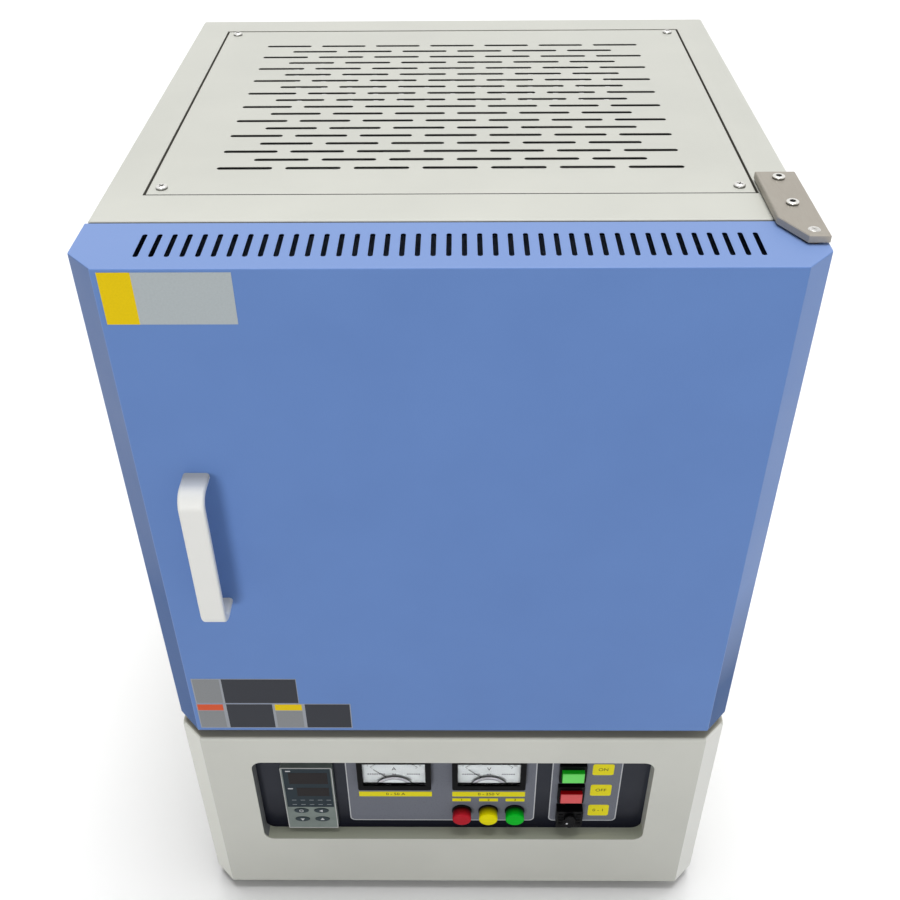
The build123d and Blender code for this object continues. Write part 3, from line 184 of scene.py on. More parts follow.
def in_zone(tree, spans):
    """1 inside a box of spans in millimetres; an axis that is left out is open."""
    inside = None
    for axis, (start, stop) in spans.items():
        place = place_along(tree, axis)
        for operation, limit in (("GREATER_THAN", start), ("LESS_THAN", stop)):
            test = calculate(tree, operation, place, limit * MM)
            inside = test if inside is None else calculate(tree, "MINIMUM", inside, test)
    return inside


def fade(tree, color, spans, axis, start, stop, share):
    """Colour inside a zone times a share at start, and whole again from stop on; a share below 1
    paints shade, one above 1 paints light.
    """
    (near, near_share), (far, far_share) = sorted(((start, share), (stop, 1.0)))
    grey = spread(tree, place_along(tree, axis), near_share, far_share, near * MM, far * MM)
    return tint(tree, in_zone(tree, spans), color, grey, "MULTIPLY")


def sheen(tree, zones, gloss):
    """Gloss with another one inside each zone, which changes between two heights."""
    for spans, (low_z, low_gloss), (high_z, high_gloss) in zones:
        ramp = spread(tree, place_along(tree, "Z"), low_gloss, high_gloss, low_z * MM, high_z * MM)
        gloss = blend(tree, in_zone(tree, spans), gloss, ramp)
    return gloss


def scaled(color, share):
    """Colour times a share, up to white."""
    return tuple(min(1.0, share * part) for part in color)


# ---------------------------------------------------------------- makers of materials

MOTTLE_SCALE = 14.0
PEEL_SCALE = 900.0
PEEL_RELIEF = 0.00006
STAIN_SCALE = 420.0
STAIN_RELIEF = 0.00002
WEAR_SCALE = 700.0
CARD_GRAIN = 700.0
FILM_GRAIN = 2600.0
FILM_RELIEF = 0.00001
FILM_GLOSS = 0.08
LENS_GLOSS = 0.05
GLASS_IOR = 1.1
HEAD_REACH = 5.0


def powder_coat(name, dark, light, roughness, zones=(), light_and_shade_ramps=(), sheens=(), gloss=0.3):
    """Sprayed and baked powder: fine orange peel and a faint mottle; zones and ramps add painted
    shade and painted light.
    """
    material, tree, shader = new_material(name)
    vector = object_coords(tree)
    mottle = noise(tree, vector, MOTTLE_SCALE, 3.0)
    color = tint(tree, spread(tree, mottle, 0.0, 1.0), dark, light)
    for spans, other in zones:
        color = tint(tree, in_zone(tree, spans), color, other)
    for values in light_and_shade_ramps:
        color = fade(tree, color, *values)
    rough = spread(tree, mottle, roughness - 0.03, roughness + 0.05)
    surface(tree, shader, color, rough, gloss=sheen(tree, sheens, gloss))
    bump(tree, shader, noise(tree, vector, PEEL_SCALE), PEEL_RELIEF)
    return material


def brushed_metal(name, dark, light, roughness, stretch, relief=0.00003, metallic=1.0):
    """Metal ground along one direction; stretch is small along the grinding."""
    material, tree, shader = new_material(name)
    lines = noise(tree, object_coords(tree, stretch), 1.0, 6.0, 0.7)
    broad = calculate(tree, "MULTIPLY", noise(tree, object_coords(tree), 30.0), 0.35)
    mixed = calculate(tree, "ADD", broad, spread(tree, lines, 0.0, 0.65))
    rough = spread(tree, lines, roughness - 0.07, roughness + 0.08)
    surface(tree, shader, tint(tree, mixed, dark, light), rough, metallic)
    bump(tree, shader, lines, relief, 0.6)
    return material


def plated_steel(name, color, roughness):
    """Bright zinc or nickel plate with small stains."""
    material, tree, shader = new_material(name)
    stain = noise(tree, object_coords(tree), STAIN_SCALE, 3.0)
    stained = tint(tree, spread(tree, stain, 0.0, 1.0), scaled(color, 0.72), color)
    surface(tree, shader, stained, spread(tree, stain, roughness, roughness + 0.14), 1.0)
    bump(tree, shader, stain, STAIN_RELIEF, 0.4)
    return material


def screw_steel(name, foot, crown, foot_z, rise):
    """Nickel on a screw head, with painted shade where it meets the sheet and in its recess, giving
    way to plain nickel on the crown.
    """
    material, tree, shader = new_material(name)
    place = place_along(tree, "Z")
    height = spread(tree, place, 0.0, 1.0, foot_z * MM, (foot_z + rise) * MM)
    elsewhere = calculate(tree, "LESS_THAN", place, (foot_z - HEAD_REACH) * MM)
    bright = calculate(tree, "MAXIMUM", height, elsewhere)
    wear = noise(tree, object_coords(tree), WEAR_SCALE)
    surface(tree, shader, tint(tree, bright, foot, crown), spread(tree, wear, 0.18, 0.30), 1.0)
    return material


def moulded_plastic(
    name, color, roughness, grain=1400.0, relief=0.00004, variation=0.12, gloss=0.12
):
    """Moulded plastic: spark-eroded grain and a slight change of tone."""
    material, tree, shader = new_material(name)
    vector = object_coords(tree)
    tone = spread(tree, noise(tree, vector, 60.0, 3.0), 0.0, 1.0)
    toned = tint(tree, tone, scaled(color, 1.0 - variation), scaled(color, 1.0 + variation))
    skin = noise(tree, vector, grain)
    rough = spread(tree, skin, roughness - 0.05, roughness + 0.06)
    surface(tree, shader, toned, rough, gloss=gloss)
    bump(tree, shader, skin, relief, 0.4)
    return material


def lens_plastic(name, shaded_back, face, back_y, front_y, roughness=0.15):
    """Clear coloured plastic with faint flow lines, darkened by painted shade towards its back and
    lighter in front.
    """
    material, tree, shader = new_material(name)
    along = spread(tree, place_along(tree, "Y"), 0.0, 1.0, back_y * MM, front_y * MM)
    flow = noise(tree, object_coords(tree, (60.0, 60.0, 900.0)), 1.0, 3.0)
    mixed = calculate(tree, "MULTIPLY", along, spread(tree, flow, 0.84, 1.0))
    rough = spread(tree, flow, roughness, roughness + 0.06)
    surface(tree, shader, tint(tree, mixed, shaded_back, face), rough, gloss=LENS_GLOSS)
    return material


def fibre_board(name, color, relief=0.0006):
    """Vacuum-formed ceramic fibre: chalky, with shallow pits and fibres."""
    material, tree, shader = new_material(name)
    pits = noise(tree, object_coords(tree), 160.0, 6.0, 0.7)
    fibres = noise(tree, object_coords(tree, (900.0, 90.0, 300.0)), 1.0, 4.0, 0.6)
    pitted = tint(tree, spread(tree, pits, 0.0, 1.0), scaled(color, 0.86), color)
    surface(tree, shader, pitted, 0.95)
    bump(tree, shader, calculate(tree, "ADD", pits, fibres), relief, 0.5)
    return material


def printed_card(name, color, roughness=0.5, gloss=0.1):
    """Printed film or card: even colour with the faintest fibre in it."""
    material, tree, shader = new_material(name)
    grain = noise(tree, object_coords(tree), CARD_GRAIN)
    printed = tint(tree, spread(tree, grain, 0.0, 1.0), scaled(color, 0.94), color)
    rough = spread(tree, grain, roughness - 0.04, roughness + 0.04)
    surface(tree, shader, printed, rough, gloss=gloss)
    return material


def shaded_film(name, bottom, top, heights, roughness):
    """Printed film with painted shade that deepens towards the bottom."""
    material, tree, shader = new_material(name)
    place = place_along(tree, "Z")
    rise = spread(tree, place, 0.0, 1.0, heights[0] * MM, heights[1] * MM)
    surface(tree, shader, tint(tree, rise, bottom, top), roughness, gloss=FILM_GLOSS)
    bump(tree, shader, noise(tree, object_coords(tree), FILM_GRAIN), FILM_RELIEF)
    return material


def clear_glass(name):
    """Thin instrument glass with a little dust."""
    material, tree, shader = new_material(name)
    shader.inputs["Transmission Weight"].default_value = 1.0
    shader.inputs["IOR"].default_value = GLASS_IOR
    dust = noise(tree, object_coords(tree), 300.0)
    surface(tree, shader, (1.0, 1.0, 1.0), spread(tree, dust, 0.01, 0.05))
    return material


# ---------------------------------------------------------------- painted shade and painted light in zones

# Painted shade, near black, inside the grille's slots and in the gap at its front.
DEEP_PAINTED_SHADE = (0.035, 0.035, 0.033)
# Painted shade on the grille opening's walls, on its ledge and on the panel's edges.
OPENING_SHADE = (0.26, 0.25, 0.22)
# Painted shade in the gap between the casing's front edge and the door's top.
GAP_SHADE = (0.15, 0.16, 0.16)
# Painted shadow of the door on the base's top under it.
UNDER_DOOR_SHADE = (0.54, 0.53, 0.45)
# Painted shade along the door's bottom edge.
DOOR_FOOT_SHADE = (0.03, 0.04, 0.11)
# Painted light, lighter on the base's two front chamfers.
LEFT_CORNER_PAINTED_LIGHT = (0.78, 0.785, 0.72)
RIGHT_CORNER_PAINTED_LIGHT = (0.795, 0.80, 0.76)
# Painted shade on the door's left chamfer.
DOOR_LEFT_PAINTED_SHADE = (0.086, 0.160, 0.365)
# Painted shade on the window tray's left wall and on its sill.
TRAY_SHADE = (0.20, 0.21, 0.215)
SILL_SHADE = (0.46, 0.48, 0.385)
# Painted shade, near black, inside the door's vents.
VENT_SHADE = (0.001, 0.0015, 0.004)
# Painted sheen, lighter and paler on the door's top.
DOOR_TOP_PAINTED_SHEEN = (0.201, 0.308, 0.605)
CASING_TONES = ((0.540, 0.545, 0.497), (0.572, 0.576, 0.526))
# The casing's paint made lighter: painted light on the base.
BASE_PAINTED_LIGHT_TONES = ((0.608, 0.613, 0.561), (0.642, 0.646, 0.593))

GRILLE_LOW, GRILLE_HIGH = low("grille_panel"), high("grille_panel")
HANDLE_LOW, HANDLE_HIGH = low("door_handle"), high("door_handle")
CASING_FRONT = low("outer_casing").y
BASE_TOP = high("base_shell").z
WINDOW_HALF = 183.0
WINDOW_Z = (89.0, 211.0)
WINDOW_CORNER = 10.0
SHEET_GAUGE = 1.2
VENT_REACH = 215.0
DOOR_CHAMFER = (19.2, 20.7)  # across the front and along the side
BASE_CHAMFER = (18.2, 18.2)

SKIN = 0.3  # zones on walls end this far below the skin
BEYOND = 0.5  # zones reach this far past the outside
BELOW_SKIN = (CASING_TOP - 12.0, CASING_TOP - SKIN)
SLOT_INSET = 4.0
OPENING_MARGIN = 3.0


def around(place, before, after):
    """Span from before a place to after it."""
    return place - before, place + after


def below_grille(margin):
    """Zone under the top skin, wider than the grille panel by a margin."""
    return {
        "X": (GRILLE_LOW.x - margin, GRILLE_HIGH.x + margin),
        "Y": (GRILLE_LOW.y - margin, GRILLE_HIGH.y + margin),
        "Z": BELOW_SKIN,
    }


def corner(side, chamfer, inset):
    """Zone of a front chamfer on the left (-1) or on the right (1)."""
    across = sorted((side * (HALF_WIDTH - chamfer[0]), side * (HALF_WIDTH + BEYOND)))
    return {"X": across, "Y": (FACE_Y + inset, FACE_Y + chamfer[1] - 0.4)}


def door_corner(side):
    """Zone of one of the door's chamfers, up to its top."""
    heights = (DOOR_BOTTOM - 1.0, CASING_TOP - SKIN)
    return {**corner(side, DOOR_CHAMFER, 0.8), "Z": heights}


# Each zone is a box in millimetres with the colour it gets; all are painted shade, except the
# base's corners and the door's top, which are painted light.
SLOT_WALLS = (below_grille(-SLOT_INSET), DEEP_PAINTED_SHADE)
OPENING_WALLS = (below_grille(OPENING_MARGIN), OPENING_SHADE)
PANEL_EDGES = ({"Z": BELOW_SKIN}, OPENING_SHADE)
PANEL_FRONT = ({"Y": around(GRILLE_LOW.y, 1.0, 3.0), "Z": BELOW_SKIN}, DEEP_PAINTED_SHADE)
FRONT_GAP = ({"Y": around(CASING_FRONT, 0.2, 0.9), "Z": around(CASING_TOP, 2.5, -0.45)}, GAP_SHADE)
UNDER_DOOR = ({"Y": around(FACE_Y, -1.8, 30.0), "Z": around(BASE_TOP, SKIN, 1.0)}, UNDER_DOOR_SHADE)
LEFT_CORNER = (corner(-1, BASE_CHAMFER, 0.4), LEFT_CORNER_PAINTED_LIGHT)
RIGHT_CORNER = (corner(1, BASE_CHAMFER, 0.4), RIGHT_CORNER_PAINTED_LIGHT)
TRAY_LEFT = (
    {
        "X": (-WINDOW_HALF - BEYOND, -WINDOW_HALF + WINDOW_CORNER / 3),
        "Y": (FACE_Y + SHEET_GAUGE, PANEL_Y),
        "Z": WINDOW_Z,
    },
    TRAY_SHADE,
)
TRAY_SILL = (
    {
        "X": (-WINDOW_HALF, WINDOW_HALF),
        "Y": (FACE_Y + SHEET_GAUGE / 2, PANEL_Y),
        "Z": (WINDOW_Z[0] - BEYOND, WINDOW_Z[0] + WINDOW_CORNER),
    },
    SILL_SHADE,
)
DOOR_LEFT = (door_corner(-1), DOOR_LEFT_PAINTED_SHADE)
DOOR_VENTS = (
    {"X": (-VENT_REACH, VENT_REACH), "Y": around(FACE_Y, -10.0, 52.0), "Z": BELOW_SKIN},
    VENT_SHADE,
)
DOOR_TOP = ({"Z": around(CASING_TOP, SKIN, 1.0)}, DOOR_TOP_PAINTED_SHEEN)
DOOR_FOOT = ({"Z": around(DOOR_BOTTOM, 1.0, 0.8)}, DOOR_FOOT_SHADE)

# Each ramp of painted shade or painted light is a box, an axis, the place of its share, the place
# where it ends, and the share.
# Painted light, lighter towards the casing's front edge.
CASING_FRONT_PAINTED_LIGHT = ({"Z": around(CASING_TOP, 1.0, 1.0)}, "Y", CASING_FRONT, CASING_FRONT + 120.0, 1.08)
# Painted shade, darker towards the bottom of the base's front.
BASE_FRONT_PAINTED_SHADE = ({"Y": around(FACE_Y, BEYOND, SKIN)}, "Z", BASE_Z, BASE_TOP, 0.88)
# Painted shade, darker towards the bottom of the door's right chamfer.
DOOR_RIGHT_PAINTED_SHADE = (door_corner(1), "Z", 320.0, 430.0, 0.60)
# Painted shade on the handle's upper and lower legs, darker towards the door.
HANDLE_PAINTED_SHADES = tuple(
    ({"Z": heights}, "Y", HANDLE_LOW.y + 24.0, HANDLE_LOW.y + 12.0, share)
    for heights, share in (
        (around(HANDLE_HIGH.z, 3.0, 1.0), 0.58),
        (around(HANDLE_LOW.z, 1.0, 16.0), 0.70),
    )
)

# Each sheen is a box with the gloss at a low and at a high place.
DOOR_SHEENS = (
    (door_corner(-1), (420.0, 0.02), (670.0, 0.30)),
    (door_corner(1), (310.0, 0.02), (430.0, 0.37)),
    (DOOR_VENTS[0], (0.0, 0.0), (1000.0, 0.0)),
)

# ---------------------------------------------------------------- materials

# The powder coats below carry the painted shade and painted light of the zones and ramps above.
CASING_PAINT = powder_coat(
    "casing_powder_coat_painted_light_and_shade", *CASING_TONES, 0.42, (OPENING_WALLS, FRONT_GAP), (CASING_FRONT_PAINTED_LIGHT,)
)
BASE_PAINT = powder_coat(
    "base_powder_coat_painted_light_and_shade",
    *BASE_PAINTED_LIGHT_TONES,
    0.42,
    (LEFT_CORNER, RIGHT_CORNER, UNDER_DOOR, TRAY_SILL, TRAY_LEFT),
    (BASE_FRONT_PAINTED_SHADE,),
)
GRILLE_PAINT = powder_coat(
    "grille_powder_coat_painted_light_and_shade",
    *CASING_TONES,
    0.42,
    (PANEL_EDGES, PANEL_FRONT, SLOT_WALLS),
    (CASING_FRONT_PAINTED_LIGHT,),
)
DOOR_PAINT = powder_coat(
    "door_powder_coat_painted_sheen_and_shade",
    (0.127, 0.238, 0.540),
    (0.135, 0.251, 0.562),
    0.42,
    (DOOR_LEFT, DOOR_TOP, DOOR_VENTS, DOOR_FOOT),
    (DOOR_RIGHT_PAINTED_SHADE,),
    DOOR_SHEENS,
    gloss=0.2,
)
STAINLESS = brushed_metal(
    "ground_stainless",
    (0.30, 0.27, 0.23),
    (0.39, 0.365, 0.32),
    0.50,
    (1400.0, 60.0, 1400.0),
    metallic=0.55,
)
PLAIN_STEEL = brushed_metal(
    "plain_sheet_steel", (0.38, 0.38, 0.37), (0.52, 0.52, 0.51), 0.45, (60.0, 900.0, 900.0)
)
# Painted shade at the screw heads' feet and in their cross recesses.
SCREW_NICKEL_PAINTED_SHADE = screw_steel(
    "screw_nickel_painted_shade", (0.16, 0.16, 0.15), (0.80, 0.79, 0.76), CASING_TOP + 0.8, 1.0
)
# Painted shade at the hinge heads' feet and in their sockets.
HINGE_NICKEL_PAINTED_SHADE = screw_steel(
    "hinge_head_nickel_painted_shade",
    (0.06, 0.06, 0.055),
    (0.80, 0.79, 0.75),
    high("hinge_plates").z + 0.5,
    0.8,
)
PIN_STEEL = plated_steel("peened_steel", (0.78, 0.77, 0.74), 0.25)
# Painted shade: dark discs inside the hinge screws' sockets.
SOCKET_PAINTED_SHADE = plated_steel("socket_shade", (0.03, 0.03, 0.03), 0.5)
DARK_STEEL = plated_steel("blackened_steel", (0.05, 0.05, 0.05), 0.35)
BRONZE = plated_steel("sintered_bronze", (0.48, 0.33, 0.15), 0.40)
# The handle's coat carries painted shade on its legs.
HANDLE_COAT = powder_coat(
    "handle_powder_coat_painted_shade", (0.81, 0.81, 0.78), (0.84, 0.84, 0.81), 0.40, light_and_shade_ramps=HANDLE_PAINTED_SHADES
)
SINK_ALLOY = brushed_metal(
    "extruded_alloy", (0.50, 0.50, 0.51), (0.66, 0.66, 0.67), 0.35, (900.0, 30.0, 900.0)
)
FIBRE = fibre_board("ceramic_fibre_board", (0.80, 0.79, 0.74))
GASKET_FIBRE = fibre_board("gasket_fibre", (0.74, 0.74, 0.71), 0.0009)
HEARTH = fibre_board("hearth_ceramic", (0.60, 0.55, 0.45), 0.0002)
HEATER = moulded_plastic("silicide_rod", (0.055, 0.052, 0.050), 0.35, 800.0, 0.00008, 0.3, 0.4)
PROBE = moulded_plastic("probe_ceramic", (0.62, 0.57, 0.47), 0.45, gloss=0.4)
RUBBER = moulded_plastic("foot_rubber", (0.012, 0.012, 0.013), 0.65, 900.0, 0.00008)
BLACK_PLASTIC = moulded_plastic("black_plastic", (0.003, 0.003, 0.0035), 0.34, gloss=0.05)
METER_BLACK = moulded_plastic(
    "meter_case_black", (0.002, 0.002, 0.0025), 0.16, 1600.0, 0.00001, gloss=0.05
)
GREY_PLASTIC = moulded_plastic("controller_grey", (0.20, 0.235, 0.22), 0.45)
MODULE_GREY = moulded_plastic("module_grey", (0.16, 0.16, 0.17), 0.5, gloss=0.4)
CORE_STEEL = moulded_plastic(
    "varnished_laminations", (0.045, 0.045, 0.05), 0.5, 400.0, 0.0002, 0.3, 0.5
)
COPPER = plated_steel("varnished_copper", (0.42, 0.17, 0.07), 0.35)
# Painted shade, darker towards the panel's bottom.
PANEL_FILM = shaded_film(
    "panel_film_dark", (0.004, 0.0045, 0.011), (0.028, 0.031, 0.042), (92.0, 150.0), 0.22
)
OVERLAY_PRINT = printed_card("overlay_print_grey", (0.161, 0.171, 0.205), 0.30)
DISPLAY_GLASS = printed_card("display_window", (0.020, 0.033, 0.043), 0.12)
DIGIT_WINDOW = printed_card("digit_window", (0.018, 0.015, 0.016), 0.12)
DIAL_CARD = printed_card("dial_card", (0.62, 0.655, 0.66), 0.5)
BOSS_GREY = printed_card("boss_grey", (0.42, 0.42, 0.45), 0.4)
INK = printed_card("black_ink", (0.012, 0.012, 0.014), 0.5)
SOFT_INK = printed_card("grey_ink", (0.16, 0.16, 0.18), 0.5)
WHITE_PRINT = printed_card("white_print", (0.60, 0.61, 0.63), 0.4)
PALE_PRINT = printed_card("pale_print", (0.22, 0.25, 0.27), 0.4)
YELLOW_LABEL = printed_card("yellow_label", (0.84, 0.745, 0.015), 0.35)
LABEL_YELLOW = printed_card("plate_yellow", (0.84, 0.60, 0.003), 0.35)
LABEL_ORANGE = printed_card("plate_orange", (0.72, 0.11, 0.040), 0.35)
RIM_SILVER = printed_card("rim_silver", (0.52, 0.53, 0.52), 0.3)
LABEL_GREY = printed_card("plate_grey", (0.46, 0.505, 0.52), 0.35)
LABEL_SILVER = printed_card("plate_silver", (0.27, 0.28, 0.29), 0.35)
LABEL_DARK = printed_card("plate_dark", (0.043, 0.046, 0.056), 0.32)
LABEL_EDGE = printed_card("plate_edge", (0.36, 0.38, 0.42), 0.35)
KEY_BLUE = moulded_plastic("key_rubber", (0.030, 0.045, 0.052), 0.40)
CAP_FACE = low("start_button").y
# Painted shade: the button caps are darker towards their backs.
CAP_SHADE_SPAN = (CAP_FACE + 1.2, CAP_FACE + 0.3)
GREEN_CAP = lens_plastic("green_button", (0.016, 0.80, 0.026), (0.19, 0.78, 0.17), *CAP_SHADE_SPAN)
RED_CAP = lens_plastic("red_button", (0.45, 0.0, 0.005), (0.74, 0.125, 0.13), *CAP_SHADE_SPAN)
LENS_FACE = low("red_lamp_lens").y
# Painted shade: the lamp lenses are darker on their sides towards their backs.
LENS_SHADE_SPAN = (LENS_FACE + 8.0, LENS_FACE + 2.5)
RED_LENS = lens_plastic("red_lens", (0.03, 0.0, 0.001), (0.50, 0.012, 0.025), *LENS_SHADE_SPAN)
YELLOW_LENS = lens_plastic("yellow_lens", (0.10, 0.08, 0.0), (0.86, 0.78, 0.0), *LENS_SHADE_SPAN)
GREEN_LENS = lens_plastic("green_lens", (0.0, 0.04, 0.003), (0.0, 0.52, 0.02), *LENS_SHADE_SPAN)
METER_GLASS = clear_glass("meter_glass")

FINISHES = {
    CASING_PAINT: "outer_casing back_panel base_bottom base_rear_cover",
    BASE_PAINT: "base_shell",
    GRILLE_PAINT: "grille_panel",
    DOOR_PAINT: "door_pan",
    PLAIN_STEEL: "inner_shell door_back_plate strike_plate mounting_rail element_clamps",
    STAINLESS: "hinge_plates",
    DARK_STEEL: "fan_guard",
    SCREW_NICKEL_PAINTED_SHADE: "panel_screws hinge_screws handle_screws hinge_pins",
    BRONZE: "door_bushes",
    HANDLE_COAT: "door_handle",
    SINK_ALLOY: "heat_sink",
    FIBRE: "insulation_floor insulation_roof insulation_walls door_insulation",
    GASKET_FIBRE: "door_gasket",
    HEARTH: "hearth_plate",
    HEATER: "heating_elements",
    PROBE: "thermocouple",
    RUBBER: "rubber_feet",
    BLACK_PLASTIC: (
        "magnet_catch fan_frame fan_rotor cable_gland switch_housings lock_knob lamp_bodies"
    ),
    MODULE_GREY: "thyristor_module circuit_breaker terminal_block",
    METER_BLACK: "meter_cases",
    GREY_PLASTIC: "controller_case",
    CORE_STEEL: "transformer_core",
    COPPER: "transformer_coil",
    PANEL_FILM: "instrument_panel",
    OVERLAY_PRINT: "panel_overlays",
    DISPLAY_GLASS: "controller_display",
    KEY_BLUE: "key_set key_shift key_down key_up",
    DIAL_CARD: "meter_dials",
    INK: "ammeter_needle voltmeter_needle",
    METER_GLASS: "meter_glasses",
    RED_LENS: "red_lamp_lens",
    YELLOW_LENS: "yellow_lamp_lens",
    GREEN_LENS: "green_lamp_lens",
    GREEN_CAP: "start_button",
    RED_CAP: "stop_button",
}


def dress_nodes():
    """Give every CAD node its finish."""
    for material, names in FINISHES.items():
        for name in names.split():
            NODES[name].data.materials.clear()
            NODES[name].data.materials.append(material)


# ---------------------------------------------------------------- piece makers

FACING_SHARE = 0.9  # least share of a normal that points to the front or back
LETTER_RELIEF = 0.04
WELD_DISTANCE = 0.001


def new_object(name, data):
    """Object in the scene at the origin."""
    thing = bpy.data.objects.new(name, data)
    bpy.context.scene.collection.objects.link(thing)
    return thing


def object_from(bm, name):
    """Object with the mesh of a bmesh, which is freed."""
    mesh = bpy.data.meshes.new(name)
    bm.to_mesh(mesh)
    bm.free()
    return new_object(name, mesh)


def pour(mesh, bm):
    """Move a mesh into a bmesh."""
    bm.from_mesh(mesh)
    bpy.data.meshes.remove(mesh)


def finish(bm, name, material, body="root"):
    """Write a bmesh drawn in millimetres as a piece in metres that rides on a body."""
    bmesh.ops.scale(bm, vec=(MM, MM, MM), verts=bm.verts)
    piece = object_from(bm, name)
    piece.data.materials.append(material)
    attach(piece, body)
    return piece


def facing(x, y, z):
    """Place of a shape drawn on +Z that is to face the front."""
    return Matrix.Translation((x, y, z)) @ Matrix.Rotation(math.pi / 2, 4, "X")


def add_disc(bm, radius, depth, segments, place):
    """Closed disc or prism of regular outline; returns its new vertices."""
    return bmesh.ops.create_cone(
        bm,
        cap_ends=True,
        segments=segments,
        radius1=radius,
        radius2=radius,
        depth=depth,
        matrix=place,
    )["verts"]


def round_edges(bm, edges, radius, segments):
    """Rounded edges."""
    bmesh.ops.bevel(
        bm,
        geom=edges,
        offset=radius,
        segments=segments,
        affect="EDGES",
        profile=0.5,
        material=-1,
    )


def add_block(bm, x, y, z):
    """Box between the low and high of x, y and z; returns its new vertices."""
    place = Matrix.Translation([(a + b) / 2 for a, b in (x, y, z)])
    size = Matrix.Diagonal([b - a for a, b in (x, y, z)] + [1.0])
    return bmesh.ops.create_cube(bm, size=1.0, matrix=place @ size)["verts"]


def add_plate(bm, x, z, back_y, thickness, radius=0.0, segments=5):
    """Upright plate that faces the operator, with rounded corners."""
    verts = add_block(bm, x, (back_y - thickness, back_y), z)
    if radius:
        edges = {edge for vert in verts for edge in vert.link_edges}
        corners = [e for e in edges if abs(e.verts[0].co.y - e.verts[1].co.y) > thickness / 2]
        round_edges(bm, corners, radius, segments)


def add_frame(bm, x, z, back_y, thickness, line, radius):
    """Thin rounded outline that faces the operator: a plate, inset, with its middle removed."""
    outline = bmesh.new()
    add_plate(outline, x, z, back_y, thickness, radius)
    faces = [f for f in outline.faces if abs(f.normal.y) > FACING_SHARE]
    bmesh.ops.inset_individual(outline, faces=faces, thickness=line, use_even_offset=True)
    inner = [f for f in faces if f.is_valid]
    bmesh.ops.bridge_loops(outline, edges=[e for f in inner for e in f.edges])
    bmesh.ops.delete(outline, geom=inner, context="FACES_ONLY")
    mesh = bpy.data.meshes.new("frame_outline")
    outline.to_mesh(mesh)
    outline.free()
    pour(mesh, bm)


def lettering(words, name, material):
    """Short printed words as one piece; words holds (text, x, z, back_y, height)."""
    bm = bmesh.new()
    for text, x, z, back_y, height in words:
        curve = bpy.data.curves.new(name + "_text", "FONT")
        curve.body = text
        curve.align_x = "CENTER"
        curve.align_y = "CENTER"
        curve.size = height
        curve.extrude = LETTER_RELIEF
        curve.resolution_u = 3
        holder = new_object(name + "_text", curve)
        bpy.context.view_layer.update()
        drawn = bpy.data.meshes.new_from_object(holder)
        drawn.transform(facing(x, back_y, z))
        pour(drawn, bm)
        bpy.data.objects.remove(holder)
        bpy.data.curves.remove(curve)
    bmesh.ops.remove_doubles(bm, verts=bm.verts, dist=WELD_DISTANCE)
    finish(bm, name, material)


# ---------------------------------------------------------------- screw heads

CROWN_SHARE = 0.9  # the crown's edge lies above this share of the height
TOOL_EXCESS = 1.0  # tools stand this far out of the crown
PANEL_HEAD = 4.2
PANEL_HEAD_HEIGHT = 2.3
PANEL_HEAD_CROWN = 1.7
PANEL_CROSS = (4.6, 0.9, 1.3)  # length, width and depth
GRILLE_SCREW_INSET = 10.0
PANEL_SCREW_TURNS = (0.7, 1.3)  # degrees per millimetre of x and of y
REAR_SCREW_INSET = 8.5
REAR_SCREW_TURN = 37.0  # degrees per millimetre of height
COVER_SCREW_PITCH = 180.0
HINGE_HEAD = 4.3
HINGE_HEAD_HEIGHT = 2.0
HINGE_HEAD_CROWN = 0.7
HINGE_SOCKET = 2.3
HINGE_SOCKET_DEPTH = 1.5
HINGE_SCREW_SPOTS = (46.0, 86.0)  # behind the upper plate's nose
LOWER_SCREW_INSET = 42.0
LOWER_SCREW_HALF_PITCH = 10.0
SOCKET_FLOOR = 2.25
SOCKET_FLOOR_RISE = 0.65
SOCKET_FLOOR_THICKNESS = 0.2
HINGE_PLATE_WIDTH = 28.0
HINGE_PLATE_THICKNESS = 5.0
LOWER_PLATE_GAP = 0.3
PIN_INSET = 9.0
PIN_SETBACK = 37.5
RIVET_RADIUS = 3.6
RIVET_HEIGHT = 0.5
RIVET_CROWN = 0.3
RIVET_CROSS = (4.4, 0.8, 0.3)
RIVET_TURN = 0.5


def combine(first, second, operation):
    """Mesh of two shapes drawn as bmesh, joined or cut by a boolean."""
    block = object_from(first, "combined_first")
    other = object_from(second, "combined_second")
    modifier = block.modifiers.new("combine", "BOOLEAN")
    modifier.operation = operation
    modifier.solver = "EXACT"
    modifier.object = other
    graph = bpy.context.evaluated_depsgraph_get()
    combined = bpy.data.meshes.new_from_object(block.evaluated_get(graph))
    for holder in (block, other):
        mesh = holder.data
        bpy.data.objects.remove(holder)
        bpy.data.meshes.remove(mesh)
    return combined


def domed_head(radius, height, rim):
    """Screw head of revolution on +Z, with a rounded crown."""
    bm = bmesh.new()
    add_disc(bm, radius, height, 32, Matrix.Translation((0.0, 0.0, height / 2)))
    crown = [e for e in bm.edges if all(v.co.z > height * CROWN_SHARE for v in e.verts)]
    round_edges(bm, crown, rim, 5)
    return bm


def cross_tool(height, length, width, depth):
    """Cross that a driver fits, standing into the crown."""
    along, across = (-length / 2, length / 2), (-width / 2, width / 2)
    upright = (height - depth, height + TOOL_EXCESS)
    bm, other = bmesh.new(), bmesh.new()
    add_block(bm, along, across, upright)
    add_block(other, across, along, upright)
    joined = bmesh.new()
    pour(combine(bm, other, "UNION"), joined)
    return joined


def hex_tool(height, radius, depth):
    """Six-sided socket standing into the crown."""
    bm = bmesh.new()
    length = depth + TOOL_EXCESS
    centre_z = height + TOOL_EXCESS - length / 2
    add_disc(bm, radius, length, 6, Matrix.Translation((0.0, 0.0, centre_z)))
    return bm


